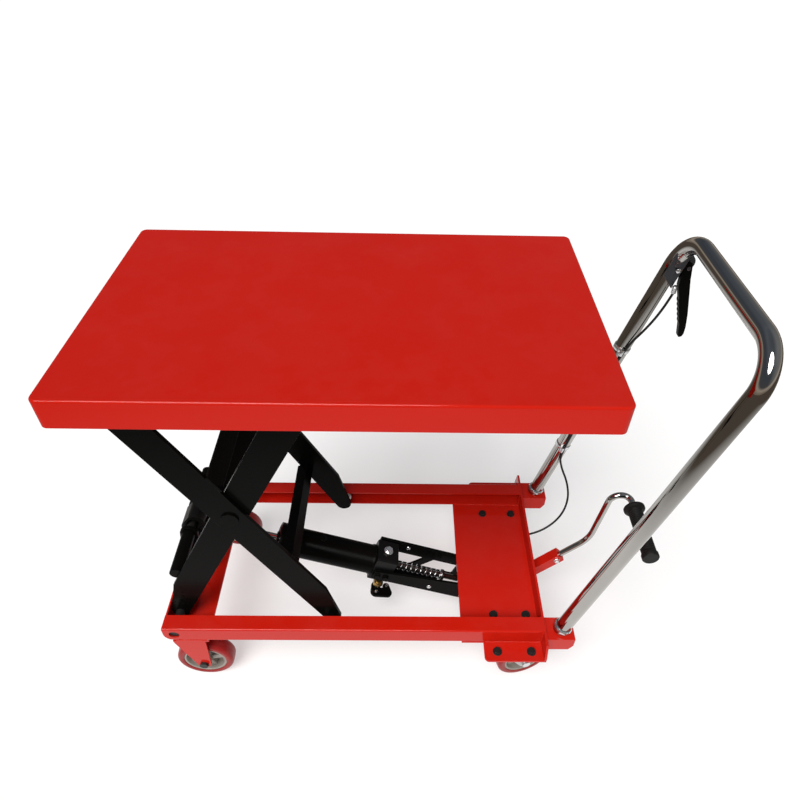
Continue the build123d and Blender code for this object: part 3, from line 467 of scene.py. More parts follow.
black_bolt = sprayed("black_bolt", (0.010, 0.010, 0.010), (0.016, 0.015, 0.014), (0.14, 0.13, 0.12),
                     (0.30, 0.44), 0.12, wear_and_highlight=0.5, dust=0.01, metallic=0.0, scale=90.0, sheen=0.2)
BOLT_X, BOLT_Y = 36, 43
castor_x, castor_y = 742, 185
bolt = joined("bolt", [
    hexagon("head", 8.4, 5.2, low=1.2),
    turned("washer", [(0, 0), (9.9, 0), (9.9, 0.9), (9.6, 1.2), (0, 1.2)]),
    turned("shank", [(0, 0), (4.9, 0), (4.9, -10.2), (4.5, -10.4), (4.9, -11), (4.5, -11.4), (4.9, -12),
                     (4.5, -12.4), (4.9, -13), (4.5, -13.4), (4.2, -16), (0, -16)], steps=24),
    moved(hexagon("nut", 8.4, 5.2), Matrix.Translation((0, 0, -15.4 * MM)))])
bolt_places = [Matrix.Translation(at(castor_x + i * BOLT_X, sign * (castor_y + j * BOLT_Y), RAIL_FOOT))
               @ Matrix.Rotation(0.5 * i + 0.8 * j + sign, 4, "Z")
               for sign in (-1, 1) for i in (-1, 1) for j in (-1, 1)]
bridge_bolts = soften(placed_copies("bridge_bolts", bolt, bolt_places), 0.25, 1)
fit(bridge_bolts, "chassis", "steel_dark", black_bolt, "castor_bolts")

# ------------------------------------------------------------------ front forks and castors
# The fixed forks are bent from plate and enamelled with the base. The swivel forks are pressed
# steel, zinc plated, with a ball race between their crown and the top plate.
dress("fixed_forks", "front_forks", 1.2, "chassis", "red_paint", red_enamel)
zinc = sprayed("zinc", (0.50, 0.51, 0.50), (0.40, 0.41, 0.40), (0.62, 0.62, 0.60), (0.26, 0.42), 0.08,
               wear_and_highlight=0.4, dust=0.03, metallic=0.85, scale=55.0)
dress("castor_top_plates", "swivel_plates", 0.6, "chassis", "zinc_plate", zinc)
for side in ("near", "far"):
    dress(f"castor_fork_{side}", f"swivel_fork_{side}", 1.0, f"castor_{side}", "zinc_plate", zinc)

# ------------------------------------------------------------------ wheel axles
# The front wheels turn on blackened bolts, the castors on zinc-plated ones with a hexagon at each
# end. The scissor's fixed pivots sit in the same group of turned steel.
dress("fixed_pins", "chassis_pins", 0.7, "chassis", "steel_dark", black_bolt)
bright_zinc = sprayed("bright_zinc", (0.72, 0.73, 0.74), (0.60, 0.62, 0.64), (0.85, 0.85, 0.85), (0.14, 0.28),
                      0.1, wear_and_highlight=0.3, dust=0.04, metallic=0.95, scale=80.0)
for side in ("near", "far"):
    dress(f"castor_axle_{side}", f"swivel_axle_{side}", 0.8, f"castor_{side}", "steel_dark", bright_zinc)

# ------------------------------------------------------------------ tyres
# Red polyurethane cast round the rim: a crowned tread with rounded shoulders and the fine line
# where the two halves of the mould met.
WHEEL_RADIUS, WHEEL_WIDTH, RIM_RADIUS, SHOULDER = 62.5, 34, 47, 8


def tyre_profile():
    half = WHEEL_WIDTH / 2
    points = [(RIM_RADIUS, -half + 0.8), (RIM_RADIUS + 2.4, -half), (WHEEL_RADIUS - SHOULDER - 1, -half)]
    for i in range(1, 9):
        turn = radians(90 * i / 8)
        points.append((WHEEL_RADIUS - 0.5 - SHOULDER * (1 - sin(turn)), -half + SHOULDER * (1 - cos(turn))))
    points += [(WHEEL_RADIUS - 0.15, -4), (WHEEL_RADIUS - 0.1, -0.5), (WHEEL_RADIUS, 0)]
    return points + [(r, -z) for r, z in reversed(points[:-1])]


urethane = sprayed("urethane", (0.30, 0.010, 0.009), (0.23, 0.008, 0.008), (0.36, 0.06, 0.05), (0.22, 0.36),
                   0.15, wear_and_highlight=0.3, dust=0.03, scale=22.0, grain=400.0, sheen=0.22)
upright = Matrix.Rotation(radians(-90), 4, "X")
wheel_bodies = {f"{end}_wheel_{side}": (end, side) for end in ("front", "rear") for side in ("near", "far")}
spins = {j["name"]: Vector(j["axis"]) for j in frame["joints"]}
wheel_places = {}
for body, (end, side) in wheel_bodies.items():
    low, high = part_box(f"{end}_tyre_{side}")
    spin = spins[f"{end}_wheel_spin_{side}"]
    swivel = Matrix.Rotation(atan2(-spin.x, spin.y), 4, "Z")
    wheel_places[body] = Matrix.Translation((low + high) / 2) @ swivel @ upright
    tyre = turned(f"cast_tyre_{end}_{side}", tyre_profile(), steps=72, closed=True)
    moved(tyre, wheel_places[body])
    fit(tyre, body, "tyre_red", urethane, f"{end}_tyre_{side}")

# ------------------------------------------------------------------ wheel centres
# Grey castings pressed into the tyres: a barrel, five spokes with open windows between them, and a
# hub whose bearing shields sit just inside its ends.
SPOKES, HUB_RADIUS, BARREL_INSIDE, AXLE_BORE = 5, 14.5, 41, 6.2


def wheel_centre(name):
    half = WHEEL_WIDTH / 2
    barrel = turned("barrel", [(BARREL_INSIDE, -8), (BARREL_INSIDE + 1, -half + 2.6),
                               (BARREL_INSIDE + 2, -half + 1.6), (RIM_RADIUS - 1, -half + 1.6),
                               (RIM_RADIUS, -half + 2.4), (RIM_RADIUS, half - 2.4),
                               (RIM_RADIUS - 1, half - 1.6), (BARREL_INSIDE + 2, half - 1.6),
                               (BARREL_INSIDE + 1, half - 2.6), (BARREL_INSIDE, 8)], steps=72, closed=True)
    hub = turned("hub", [(AXLE_BORE, -half - 2.8), (9, -half - 2.8), (9.4, -half - 2),
                         (HUB_RADIUS - 1, -half - 2),
                         (HUB_RADIUS, -half - 1), (HUB_RADIUS + 2.5, 0), (HUB_RADIUS, half + 1),
                         (HUB_RADIUS - 1, half + 2), (9.4, half + 2), (9, half + 2.8),
                         (AXLE_BORE, half + 2.8)],
                 steps=40, closed=True)
    parts = [barrel, hub]
    for i in range(SPOKES):
        turn = Matrix.Rotation(2 * pi * i / SPOKES, 4, "Z")
        bpy.ops.object.select_all(action="DESELECT")
        bpy.ops.mesh.primitive_cube_add(size=1, location=(0, 0, 0))
        spoke = bpy.context.view_layer.objects.active
        spoke.data.transform(Matrix.Translation((28.5 * MM, 0, 0))
                             @ Matrix.Diagonal((29 * MM, 11 * MM, 12 * MM, 1)))
        for vertex in spoke.data.vertices:
            if vertex.co.x < 20 * MM:
                vertex.co.y *= 1.25
                vertex.co.z *= 1.5
        parts.append(soften(moved(spoke, turn), 1.6, 3))
    return joined(name, parts)


cast_grey = sprayed("cast_grey", (0.34, 0.31, 0.27), (0.27, 0.25, 0.22), (0.45, 0.42, 0.38), (0.42, 0.55),
                    0.35, wear_and_highlight=0.3, dust=0.15, metallic=0.2, scale=40.0, grain=900.0)
for body, (end, side) in wheel_bodies.items():
    centre = wheel_centre(f"cast_centre_{end}_{side}")
    moved(centre, wheel_places[body])
    fit(centre, body, "rim_grey", cast_grey, f"{end}_rim_{side}")

# ------------------------------------------------------------------ inner arms
# The pair that leans up to the right on the fixed base pivot, cut from 8 mm plate and sprayed
# satin black with the tubes that tie them together.
# The black enamel's paler grey edge colour is a painted highlight along its edges.
black_enamel = sprayed("black_enamel", (0.0022, 0.0022, 0.0020), (0.0034, 0.0034, 0.0030),
                       (0.04, 0.04, 0.038), (0.20, 0.30), 0.06, wear_and_highlight=0.4, dust=0.002, scale=6.0, sheen=0.03)
for side in ("near", "far"):
    dress(f"lift_arm_inner_{side}", f"inner_arm_{side}", 0.9, "inner_frame", "black_paint", black_enamel)
dress("inner_tie_tubes", "inner_cross_tubes", 0.6, "inner_frame", "black_paint", black_enamel)
dress("crank_plates", "pump_crank", 1.0, "inner_frame", "black_paint", black_enamel)
dress("inner_pins", "inner_frame_pins", 0.6, "inner_frame", "steel_dark", black_bolt)

# ------------------------------------------------------------------ outer arms
# The pair that leans up to the left, from its rollers on the base rails to the tray's fixed
# pivots, with its square tie tube, flat bar and the two headed centre pins.
for side in ("near", "far"):
    dress(f"lift_arm_outer_{side}", f"outer_arm_{side}", 0.9, "outer_frame", "black_paint", black_enamel)
dress("outer_tie_bars", "outer_crossbars", 0.8, "outer_frame", "black_paint", black_enamel)
dress("centre_pins", "outer_frame_pins", 0.9, "outer_frame", "steel_dark", black_enamel)

# ------------------------------------------------------------------ rollers
# Hardened rollers that run inside the channels: turned, with a chamfer each side and a seal
# groove round the bore.
ROLLER_RADIUS, ROLLER_HALF = 17.7, 12
for level in ("upper", "lower"):
    for side in ("near", "far"):
        body = f"{level}_roller_{side}"
        low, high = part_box(body)
        roller = turned(f"channel_{body}", [
            (10.1, -ROLLER_HALF + 1), (10.6, -ROLLER_HALF), (12.6, -ROLLER_HALF), (12.9, -ROLLER_HALF + 0.8),
            (13.8, -ROLLER_HALF + 0.8), (14.1, -ROLLER_HALF), (ROLLER_RADIUS - 1.5, -ROLLER_HALF),
            (ROLLER_RADIUS, -ROLLER_HALF + 1.5), (ROLLER_RADIUS, ROLLER_HALF - 1.5),
            (ROLLER_RADIUS - 1.5, ROLLER_HALF), (14.1, ROLLER_HALF), (13.8, ROLLER_HALF - 0.8),
            (12.9, ROLLER_HALF - 0.8), (12.6, ROLLER_HALF), (10.6, ROLLER_HALF), (10.1, ROLLER_HALF - 1)],
            closed=True)
        moved(roller, Matrix.Translation((low + high) / 2) @ upright)
        fit(roller, body, "zinc_plate", zinc, body)

# ------------------------------------------------------------------ tray
# One sheet folded down on all four sides, its corners welded and ground round, enamelled in the
# same red. Ears and roller channels are welded underneath.
dress("folded_tray", "table_top", 0.6, "table", "red_paint", red_enamel)
for node, name in (("table_lugs", "tray_ears"), ("table_channels", "tray_channels")):
    dress(name, node, 0.7, "table", "red_paint", red_enamel)
dress("tray_pins", "table_pins", 0.8, "table", "zinc_plate", zinc)
TRAY_WELD_Z, EAR_INSIDE = 876.5, 163
lines = []
for sign in (-1, 1):
    for x0, x1 in ((330, 420), (520, 610), (700, 790)):
        for y in (RAIL_INSIDE, RAIL_OUTSIDE):
            lines.append(((x0, sign * y, TRAY_WELD_Z), (x1, sign * y, TRAY_WELD_Z), 1.8))
    lines.append(((6, sign * EAR_INSIDE, TRAY_WELD_Z), (58, sign * EAR_INSIDE, TRAY_WELD_Z), 1.8))
tray_welds = weld_runs("tray_welds", lines)
fit(tray_welds, "table", "red_paint", red_enamel)

# ------------------------------------------------------------------ pump cylinder and block
# Cold-drawn barrel with a screwed gland at the rod's end, set into a cast valve block. Both are
# dipped in the same satin black.
joint = {j["name"]: j for j in frame["joints"]}
PUMP_HINGE = Vector(joint["pump_tilt"]["pos_m"])
rod_way = Vector(joint["rod_stroke"]["axis"])
on_pump = Matrix.Translation(PUMP_HINGE) @ Matrix.Rotation(atan2(-rod_way.z, rod_way.x), 4, "Y")
along_x = Matrix.Rotation(radians(90), 4, "Y")
CYLINDER_NEAR, CYLINDER_FAR, BARREL = -512, -286, 34
barrel = turned("pump_barrel", [
    (9.2, CYLINDER_NEAR - 6), (14, CYLINDER_NEAR - 6), (14.6, CYLINDER_NEAR - 5), (14.6, CYLINDER_NEAR - 2),
    (31, CYLINDER_NEAR - 2), (BARREL + 2, CYLINDER_NEAR - 0.5), (BARREL + 3, CYLINDER_NEAR + 1),
    (BARREL + 3, CYLINDER_NEAR + 11), (BARREL + 2, CYLINDER_NEAR + 12.5), (BARREL + 0.2, CYLINDER_NEAR + 13),
    (BARREL - 0.4, CYLINDER_NEAR + 14), (BARREL, CYLINDER_NEAR + 15), (BARREL, CYLINDER_FAR - 8),
    (BARREL + 1.6, CYLINDER_FAR - 5), (BARREL + 2.2, CYLINDER_FAR - 2), (BARREL, CYLINDER_FAR + 1),
    (9.2, CYLINDER_FAR + 1)], steps=72, closed=True)
fit(moved(barrel, on_pump @ along_x), "pump_body", "black_paint", black_enamel, "pump_cylinder")
black_casting = sprayed("black_casting", (0.003, 0.003, 0.003), (0.005, 0.0047, 0.0044), (0.05, 0.045, 0.04),
                        (0.30, 0.42), 0.5, wear_and_highlight=0.4, dust=0.004, scale=30.0, grain=260.0, sheen=0.12)
dress("valve_block", "pump_block", 1.6, "pump_body", "black_paint", black_casting, segments=3)
dress("pump_side_plates", "pump_frame", 1.0, "pump_body", "black_paint", black_enamel)

# ------------------------------------------------------------------ pump screws and brass valve
# A bright zinc plug stands on the block, with a bright button on each side plate. The filler, the
# plates' hexagon screws and the pedal's pin are black like the pump. The brass release cartridge
# hangs under the block with its lever.
PLUG_X, BLOCK_TOP, FILLER_X, SCREW_XS, SCREW_Z = -262, 44, -417, (-270, -250), -7
PLATE_FACE, PLATE_INSIDE, PEDAL_PIN_X, PEDAL_PIN_Z = 38, 32, 13.5, 26.5
plug = joined("block_plug", [turned("flange", [(0, 0), (10.8, 0), (11, 0.4), (11, 2), (10.4, 2.6), (0, 2.6)]),
                             hexagon("hex", 8.6, 5.6, low=2.6)])
soften(moved(plug, on_pump @ Matrix.Translation((PLUG_X * MM, 0, BLOCK_TOP * MM))), 0.5, 2)
filler = soften(turned("filler", [(0, 33), (8.6, 33), (8.6, 36), (7.6, 37), (7.6, 39), (5, 39.4), (5, 38.4),
                                  (0, 38.4)]), 0)
moved(filler, on_pump @ Matrix.Translation((FILLER_X * MM, 0, 0)))
screw = joined("screw", [turned("rim", [(0, 0), (8.6, 0), (8.6, 0.8), (0, 0.8)], steps=32),
                         hexagon("hex", 7.4, 4.4, low=0.8)])
screw_places = []
for sign in (-1, 1):
    outwards = Matrix.Rotation(radians(-90 * sign), 4, "X")
    for x in SCREW_XS:
        head = Vector((x, sign * PLATE_FACE, SCREW_Z)) * MM
        screw_places.append(on_pump @ Matrix.Translation(head) @ outwards)
screws = placed_copies("plate_screws", screw, screw_places)
pedal_pin = turned("pedal_pin", [(0, -41), (5, -41), (6, -40), (6, -38.2), (8.6, -38), (8.6, -38.1), (6, -38),
                                 (6, 40), (5, 41), (0, 41)], steps=32)
moved(pedal_pin, on_pump @ Matrix.Translation((PEDAL_PIN_X * MM, 0, PEDAL_PIN_Z * MM)) @ upright)
facing_near = Matrix.Rotation(radians(90), 4, "X")
plate_button = turned("button", [(0, 2.4), (2.4, 2.4), (4.2, 1.6), (5.2, 0), (0, 0)], steps=32)
button_places = [on_pump @ Matrix.Translation(Vector(place) * MM) @ facing_near
                 for place in ((-140, -PLATE_FACE, -5), (-206, PLATE_INSIDE, 30))]
buttons = placed_copies("plate_buttons", plate_button, button_places)
fit(joined("pump_screws", [plug, buttons]), "pump_body", "steel_dark", bright_zinc, "pump_fasteners")
fit(joined("painted_screws", [filler, screws, pedal_pin]), "pump_body", "steel_dark", black_enamel)

brass = sprayed("brass", (0.50, 0.34, 0.12), (0.38, 0.25, 0.09), (0.66, 0.50, 0.24), (0.20, 0.34), 0.1,
                wear_and_highlight=0.5, dust=0.05, metallic=0.95, scale=70.0)
VALVE_X, VALVE_Y, VALVE_TOP, LEVER_FACE = -254, -26, -38, -23
VALVE = on_pump @ Matrix.Translation(Vector((VALVE_X, VALVE_Y, VALVE_TOP)) * MM)
cartridge = joined("release_cartridge", [
    turned("body", [(0, 0), (9, 0), (9, -3), (8.2, -3.6), (8.2, -5)], steps=40),
    hexagon("hex", 12.8, 9, low=-14),
    turned("neck", [(8.5, -14), (8.5, -16), (6, -16.4), (6, -33.4), (5.4, -34), (0, -34)], steps=40)])
fit(moved(cartridge, VALVE), "pump_body", "brass_fitting", brass, "release_valve")

# The lever is a black laser-cut plate clamped on the spindle. Its heel and toe point to the near
# side, and two small bright screws sit on its upper face.
dress("valve_lever_plate", "valve_lever", 0.8, "valve_lever", "black_paint", black_enamel)
small_screw = turned("small_screw", [(0, 3), (2.2, 3), (3.6, 2.2), (4, 0), (0, 0)], steps=28)
lever_screws = placed_copies("valve_lever_screws", small_screw, [
    VALVE @ Matrix.Translation(Vector(place) * MM) for place in ((26, 4, LEVER_FACE), (0, -18, LEVER_FACE))])
fit(lever_screws, "valve_lever", "steel_dark", bright_zinc)

# ------------------------------------------------------------------ piston rod
# Ground and hard-chromed rod, wet with a trace of oil, screwed into a forged eye that pushes the
# crank pin.
chrome = sprayed("chrome", (0.44, 0.43, 0.405), (0.39, 0.38, 0.36), (0.50, 0.50, 0.49), (0.03, 0.07), 0.0,
                 wear_and_highlight=0.1, dust=0.0, metallic=1.0, scale=18.0, grain=1500.0)
ROD_START, ROD_END, ROD_RADIUS = -673.5, CYLINDER_NEAR + 45, 9
rod = turned("ground_rod", [(0, ROD_START), (ROD_RADIUS - 1, ROD_START), (ROD_RADIUS, ROD_START + 1),
                            (ROD_RADIUS, ROD_END - 1), (ROD_RADIUS - 1, ROD_END), (0, ROD_END)], steps=48)
fit(moved(rod, on_pump @ along_x), "piston", "chrome_plate", chrome, "piston_rod")
dress("rod_eye", "rod_head", 1.2, "piston", "zinc_plate", black_casting)

# ------------------------------------------------------------------ plunger and spring
# The hand-ground plunger is dark with grease. Its return spring is cold-wound bright wire with a
# closed coil at each end, and it shortens as the pedal drives the plunger in.
greasy_steel = sprayed("greasy_steel", (0.10, 0.085, 0.075), (0.05, 0.04, 0.035), (0.3, 0.28, 0.26),
                       (0.18, 0.38), 0.2, wear_and_highlight=0.3, dust=0.0, metallic=0.9, scale=60.0)
dress("pump_ram", "pump_plunger", 0.6, "plunger", "zinc_plate", greasy_steel)
SPRING_START, SPRING_END, COIL_RADIUS, WIRE, COILS = -229.5, -110.4, 10.1, 1.35, 9
TURN_STEPS = 20
spring, helix = round_bar("return_spring", WIRE, 3, (COILS + 2) * TURN_STEPS + 1)
for i, point in enumerate(helix.points):
    turns = i / TURN_STEPS
    share = min(max((turns - 1) / COILS, 0), 1)
    end_coils = (min(turns, 1) + max(turns - COILS - 1, 0)) * 2 * WIRE
    reach = SPRING_END - SPRING_START - 4 * WIRE
    x = SPRING_START + end_coils + share * reach
    around = turns * 2 * pi
    place = on_pump @ (Vector((x, COIL_RADIUS * sin(around), COIL_RADIUS * cos(around))) * MM)
    point.co = (*place, 1)
choose(spring)
bpy.ops.object.convert(target="MESH")
spring = bpy.context.view_layer.objects.active
bpy.ops.object.shade_smooth()
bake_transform(spring, "pump_body", "plunger", start=on_pump @ Vector((SPRING_START * MM, 0, 0)),
         end=on_pump @ Vector((SPRING_END * MM, 0, 0)))
fit(spring, "pump_body", "spring_steel", bright_zinc, "plunger_spring")

# ------------------------------------------------------------------ pump ears
# Two ears welded under the bridge plate carry the pump's stub trunnions, so the whole pump can
# rock as the table rises.
dress("pump_ears", "pump_lugs", 1.0, "chassis", "red_paint", red_enamel)
dress("trunnions", "pump_trunnions", 0.8, "chassis", "steel_dark", bright_zinc)
ear_welds = weld_runs("ear_welds", [((664, sign * y, 165), (736, sign * y, 165), 1.8)
                                    for sign in (-1, 1) for y in (42, 48)])
fit(ear_welds, "chassis", "red_paint", red_enamel)

# ------------------------------------------------------------------ handle sockets
# Folded boxes welded to the flange with their lower outer corner cut away; the legs drop into
# their bores and are pinched there.
dress("leg_sockets", "handle_sockets", 1.0, "chassis", "red_paint", red_enamel)
SOCKET_TOP, SOCKET_FOOT, SOCKET_SEAM, LEG_Y, SOCKET_HALF = 204, 163, 807.5, 193, 26
lines = []
for sign in (-1, 1):
    first, last = sign * (LEG_Y - SOCKET_HALF), sign * (LEG_Y + SOCKET_HALF)
    for y in (first, last):
        lines.append(((SOCKET_SEAM, y, SOCKET_FOOT + 4), (SOCKET_SEAM, y, SOCKET_TOP), 1.8))
    lines.append(((SOCKET_SEAM, first, SOCKET_TOP), (SOCKET_SEAM, last, SOCKET_TOP), 1.8))
socket_welds = weld_runs("socket_welds", lines)
fit(socket_welds, "chassis", "red_paint", red_enamel)

# ------------------------------------------------------------------ push handle
# One length of chromed steel tube bent round at both top corners, leaning out over the pedal. A
# bright crimped collar locks each leg on its socket.
TUBE_RADIUS, HANDLE_TOP, LEG_FOOT, LEAN, BEND = 16, 919, 174, 14.2, 70
SOCKET_X = 842


def leg_axis(sign, z):
    return at(SOCKET_X + (z - SOCKET_TOP) * tan(radians(LEAN)), sign * LEG_Y, z)


def bent_line(corners, radii, steps=16):
    """Points of a bar bent round each inner corner at its own radius."""
    line = [corners[0]]
    for before, corner, after, radius in zip(corners, corners[1:], corners[2:], radii):
        to_before, to_after = (before - corner).normalized(), (after - corner).normalized()
        half = to_before.angle(to_after) / 2
        start = corner + to_before * (radius * MM / tan(half))
        centre = corner + (to_before + to_after).normalized() * (radius * MM / sin(half))
        spoke = start - centre
        axis = spoke.cross(to_before * -1).normalized()
        sweep = pi - 2 * half
        line += [centre + Matrix.Rotation(sweep * i / steps, 3, axis) @ spoke for i in range(steps + 1)]
    return line + [corners[-1]]


def tube_on(name, line, radius, resolution=10, kind="POLY"):
    """Round bar or tube along a line of points."""
    tube, spline = round_bar(name, radius, resolution, len(line), kind)
    for point, place in zip(spline.points, line):
        point.co = (*place, 1)
    return tube


def meshed(tube):
    choose(tube)
    bpy.ops.object.convert(target="MESH")
    bpy.ops.object.shade_smooth_by_angle(angle=radians(40))
    return bpy.context.view_layer.objects.active


hoop_line = bent_line([leg_axis(-1, LEG_FOOT), leg_axis(-1, HANDLE_TOP), leg_axis(1, HANDLE_TOP),
                       leg_axis(1, LEG_FOOT)], [BEND, BEND])
hoop = meshed(tube_on("push_handle", hoop_line, TUBE_RADIUS))
fit(hoop, "chassis", "chrome_plate", chrome, "handle_tube")

crimp = turned("crimp", [(TUBE_RADIUS - 0.2, 0), (TUBE_RADIUS + 3.4, 0), (TUBE_RADIUS + 4, 1),
                         (TUBE_RADIUS + 3.6, 4), (TUBE_RADIUS + 3.9, 6), (TUBE_RADIUS + 2.4, 8.4),
                         (TUBE_RADIUS + 0.4, 9)], steps=64, closed=True)
for vertex in crimp.data.vertices:
    around = atan2(vertex.co.y, vertex.co.x)
    out = Vector((vertex.co.x, vertex.co.y, 0))
    if out.length > (TUBE_RADIUS + 1) * MM:
        swell = sin(around * 11) * 0.35 + sin(around * 17 + 1) * 0.25 - 0.6
        vertex.co += out.normalized() * swell * MM
crimp_places = []
for sign in (-1, 1):
    lean = Matrix.Rotation(radians(LEAN), 4, "Y")
    crimp_places.append(Matrix.Translation(leg_axis(sign, SOCKET_TOP + 5.5)) @ lean)
crimps = placed_copies("leg_collars", crimp, crimp_places)
fit(crimps, "chassis", "chrome_plate", bright_zinc, "handle_collars")

# ------------------------------------------------------------------ pedal
# A square bar with a hub on the pump's hinge and a finger behind the plunger, enamelled red. A
# chromed bar is bolted into it and bends round into the foot grip.
dress("pedal_socket", "pedal_arm", 1.4, "pedal", "red_paint", red_enamel, segments=3)
PEDAL_FOOT, PEDAL_HEAD, PEDAL_RADIUS = at(806, 0, 128), at(874, 0, 200), 7
GRIP_X, GRIP_Z = 987, 410
along = (PEDAL_HEAD - PEDAL_FOOT).normalized()
bar_line = bent_line([PEDAL_HEAD - along * 18 * MM, PEDAL_HEAD + along * 82 * MM, at(948, 0, GRIP_Z + 4),
                      at(GRIP_X, 0, GRIP_Z), at(GRIP_X, -158, GRIP_Z)], [85, 22, 16])
pedal_rod = meshed(tube_on("pedal_rod", bar_line, PEDAL_RADIUS, 8))
fit(pedal_rod, "pedal", "chrome_plate", chrome, "pedal_bar")
clamp_screw = joined("clamp_screw", [turned("rim", [(0, 0), (6.4, 0), (6.4, 1), (0, 1)], steps=32),
                                     hexagon("hex", 5.6, 4, low=1)])
under = Matrix.Translation(PEDAL_HEAD - along * 12 * MM) @ Matrix.Rotation(-atan2(along.z, along.x), 4, "Y")
moved(clamp_screw, under @ Matrix.Translation((0, -12 * MM, 0)) @ Matrix.Rotation(radians(90), 4, "X"))
fit(soften(clamp_screw, 0.3, 1), "pedal", "steel_dark", bright_zinc)

# ------------------------------------------------------------------ pedal grip
# Black rubber sleeve pushed on to the bar: a broad flange inboard, fine rings to keep a boot from
# sliding and a thick end cap.
rubber = sprayed("rubber", (0.006, 0.006, 0.006), (0.009, 0.009, 0.008), (0.04, 0.04, 0.037), (0.46, 0.62),
                 0.5, wear_and_highlight=0.4, dust=0.01, scale=45.0, grain=500.0, sheen=0.2)
grip_profile = [(7, -32), (20, -32), (22, -33.5), (22, -38), (20.5, -40), (15.5, -42)]
RINGS, RING_PITCH = 22, 4.6
for i in range(RINGS):
    y = -45 - i * RING_PITCH
    grip_profile += [(15, y), (14, y - 1.2), (14, y - 2.2), (15, y - 3.4)]
grip_profile += [(15, -148), (17, -150), (17, -158), (15.6, -160), (0, -160), (0, -158.5), (7, -158.5)]
grip = turned("foot_grip", grip_profile, steps=48, closed=True)
moved(grip, Matrix.Translation(at(GRIP_X, 0, GRIP_Z)) @ upright)
fit(grip, "pedal", "grip_rubber", rubber, "pedal_grip")

# ------------------------------------------------------------------ release lever
# Die-cast blade hanging between two dark plated cheeks on the far leg, smooth towards the palm and
# waved for the fingers, its tip turned out. A bright screw shows on the near cheek.
LEVER = Vector(joint["lever_squeeze"]["pos_m"])
palm = [(-9, 6), (-7, 10), (-2, 12), (3, 11), (6, 8), (9, -6), (12, -24), (20, -57), (31, -103), (36.5, -134),
        (37.2, -150), (35, -156.5), (30, -158.5)]
fingers = [(27, -157)]
WAVES = 5
for i in range(WAVES * 6 + 1):
    share = i / (WAVES * 6)
    swell = 1.5 * abs(sin(share * WAVES * pi))
    fingers.append((20 - 18 * share - swell * 0.9 + 0.8, -127 + 58 * share))
fingers += [(-7, -40)]
outline = palm + fingers
blade = new_piece("lever_blade", [LEVER + Vector((x * MM, -7 * MM, z * MM)) for x, z in outline],
                  faces=[tuple(range(len(outline)))])
choose(blade)
bpy.ops.object.mode_set(mode="EDIT")
bpy.ops.mesh.select_all(action="SELECT")
bpy.ops.mesh.extrude_region_move(TRANSFORM_OT_translate={"value": (0, 14 * MM, 0)})
bpy.ops.mesh.select_all(action="SELECT")
bpy.ops.mesh.normals_make_consistent(inside=False)
bpy.ops.object.mode_set(mode="OBJECT")
soften(blade, 2.6, 4)
fit(blade, "release_lever", "black_paint", black_enamel, "release_lever")
cheeks = rounded_copy("lever_cheeks", "lever_bracket", 0.5)
# The cheeks' pale pinkish edge colour is a painted highlight along their edges and folds.
slate_plate = sprayed("slate_plate", (0.085, 0.09, 0.10), (0.065, 0.07, 0.08), (0.50, 0.24, 0.17),
                      (0.22, 0.34), 0.05, wear_and_highlight=0.9, dust=0.0, metallic=0.8, scale=20.0)
fit(cheeks, "chassis", "black_paint", slate_plate, "lever_bracket")
CHEEK_SCREW = at(1011, 171.6, 852)
cheek_screw = turned("cheek_screw", [(0, 2), (1.2, 2), (1.2, 2.8), (3.4, 2.6), (4.6, 1.6), (5, 0), (0, 0)],
                     steps=32)
moved(cheek_screw, Matrix.Translation(CHEEK_SCREW) @ facing_near)
fit(cheek_screw, "chassis", "steel_dark", bright_zinc)

# ------------------------------------------------------------------ release cable
# A black-sheathed control cable, 5 mm thick, from the adjuster under the lever, down the far leg
# under two clips, out in a short free loop and in under the bridge plate to its stop.
SHEATH_RADIUS, LEG_GAP, STRAP_HEIGHTS = 2.5, 1.4, (660, 374)
LEG_SIDE = LEG_Y - TUBE_RADIUS - SHEATH_RADIUS - LEG_GAP
ADJUSTER = (1014, 168.5, 816)


def beside_leg(z):
    return leg_axis(1, z) + Vector((-6 * MM, (LEG_SIDE - LEG_Y) * MM, 0))


cable_black = sprayed("cable_black", (0.008, 0.008, 0.008), (0.012, 0.012, 0.012), (0.05, 0.05, 0.05),
                      (0.28, 0.40), 0.15, wear_and_highlight=0.2, dust=0.01, scale=50.0, sheen=0.25)


def sheath(name, route, body, node):
    """Cable sheath on a smooth line through the route's points."""
    cable = tube_on(name, route, SHEATH_RADIUS, 5, "NURBS")
    spline = cable.data.splines[0]
    spline.order_u, spline.use_endpoint_u, spline.resolution_u = 3, True, 16
    return fit(cable, body, "cable_black", cable_black, node)


sheath("release_sheath", [
    at(1014, 168.5, 806), at(1006, 169, 772), at(986, 171, 722), beside_leg(670), beside_leg(362),
    at(886, 170, 318), at(907, 158, 276), at(915, 140, 232), at(900, 120, 190), at(862, 104, 158),
    at(815, 94, 146), at(772, 84, 146)], "chassis", "release_cable")
sheath("pump_sheath", [on_pump @ (Vector(point) * MM) for point in (
    (-6, 44.8, -38), (-52, 45.5, -43), (-98, 42, -50), (-140, 32, -57), (-172, 15, -62), (-192, 2, -64))],
    "pump_body", "pump_cable")

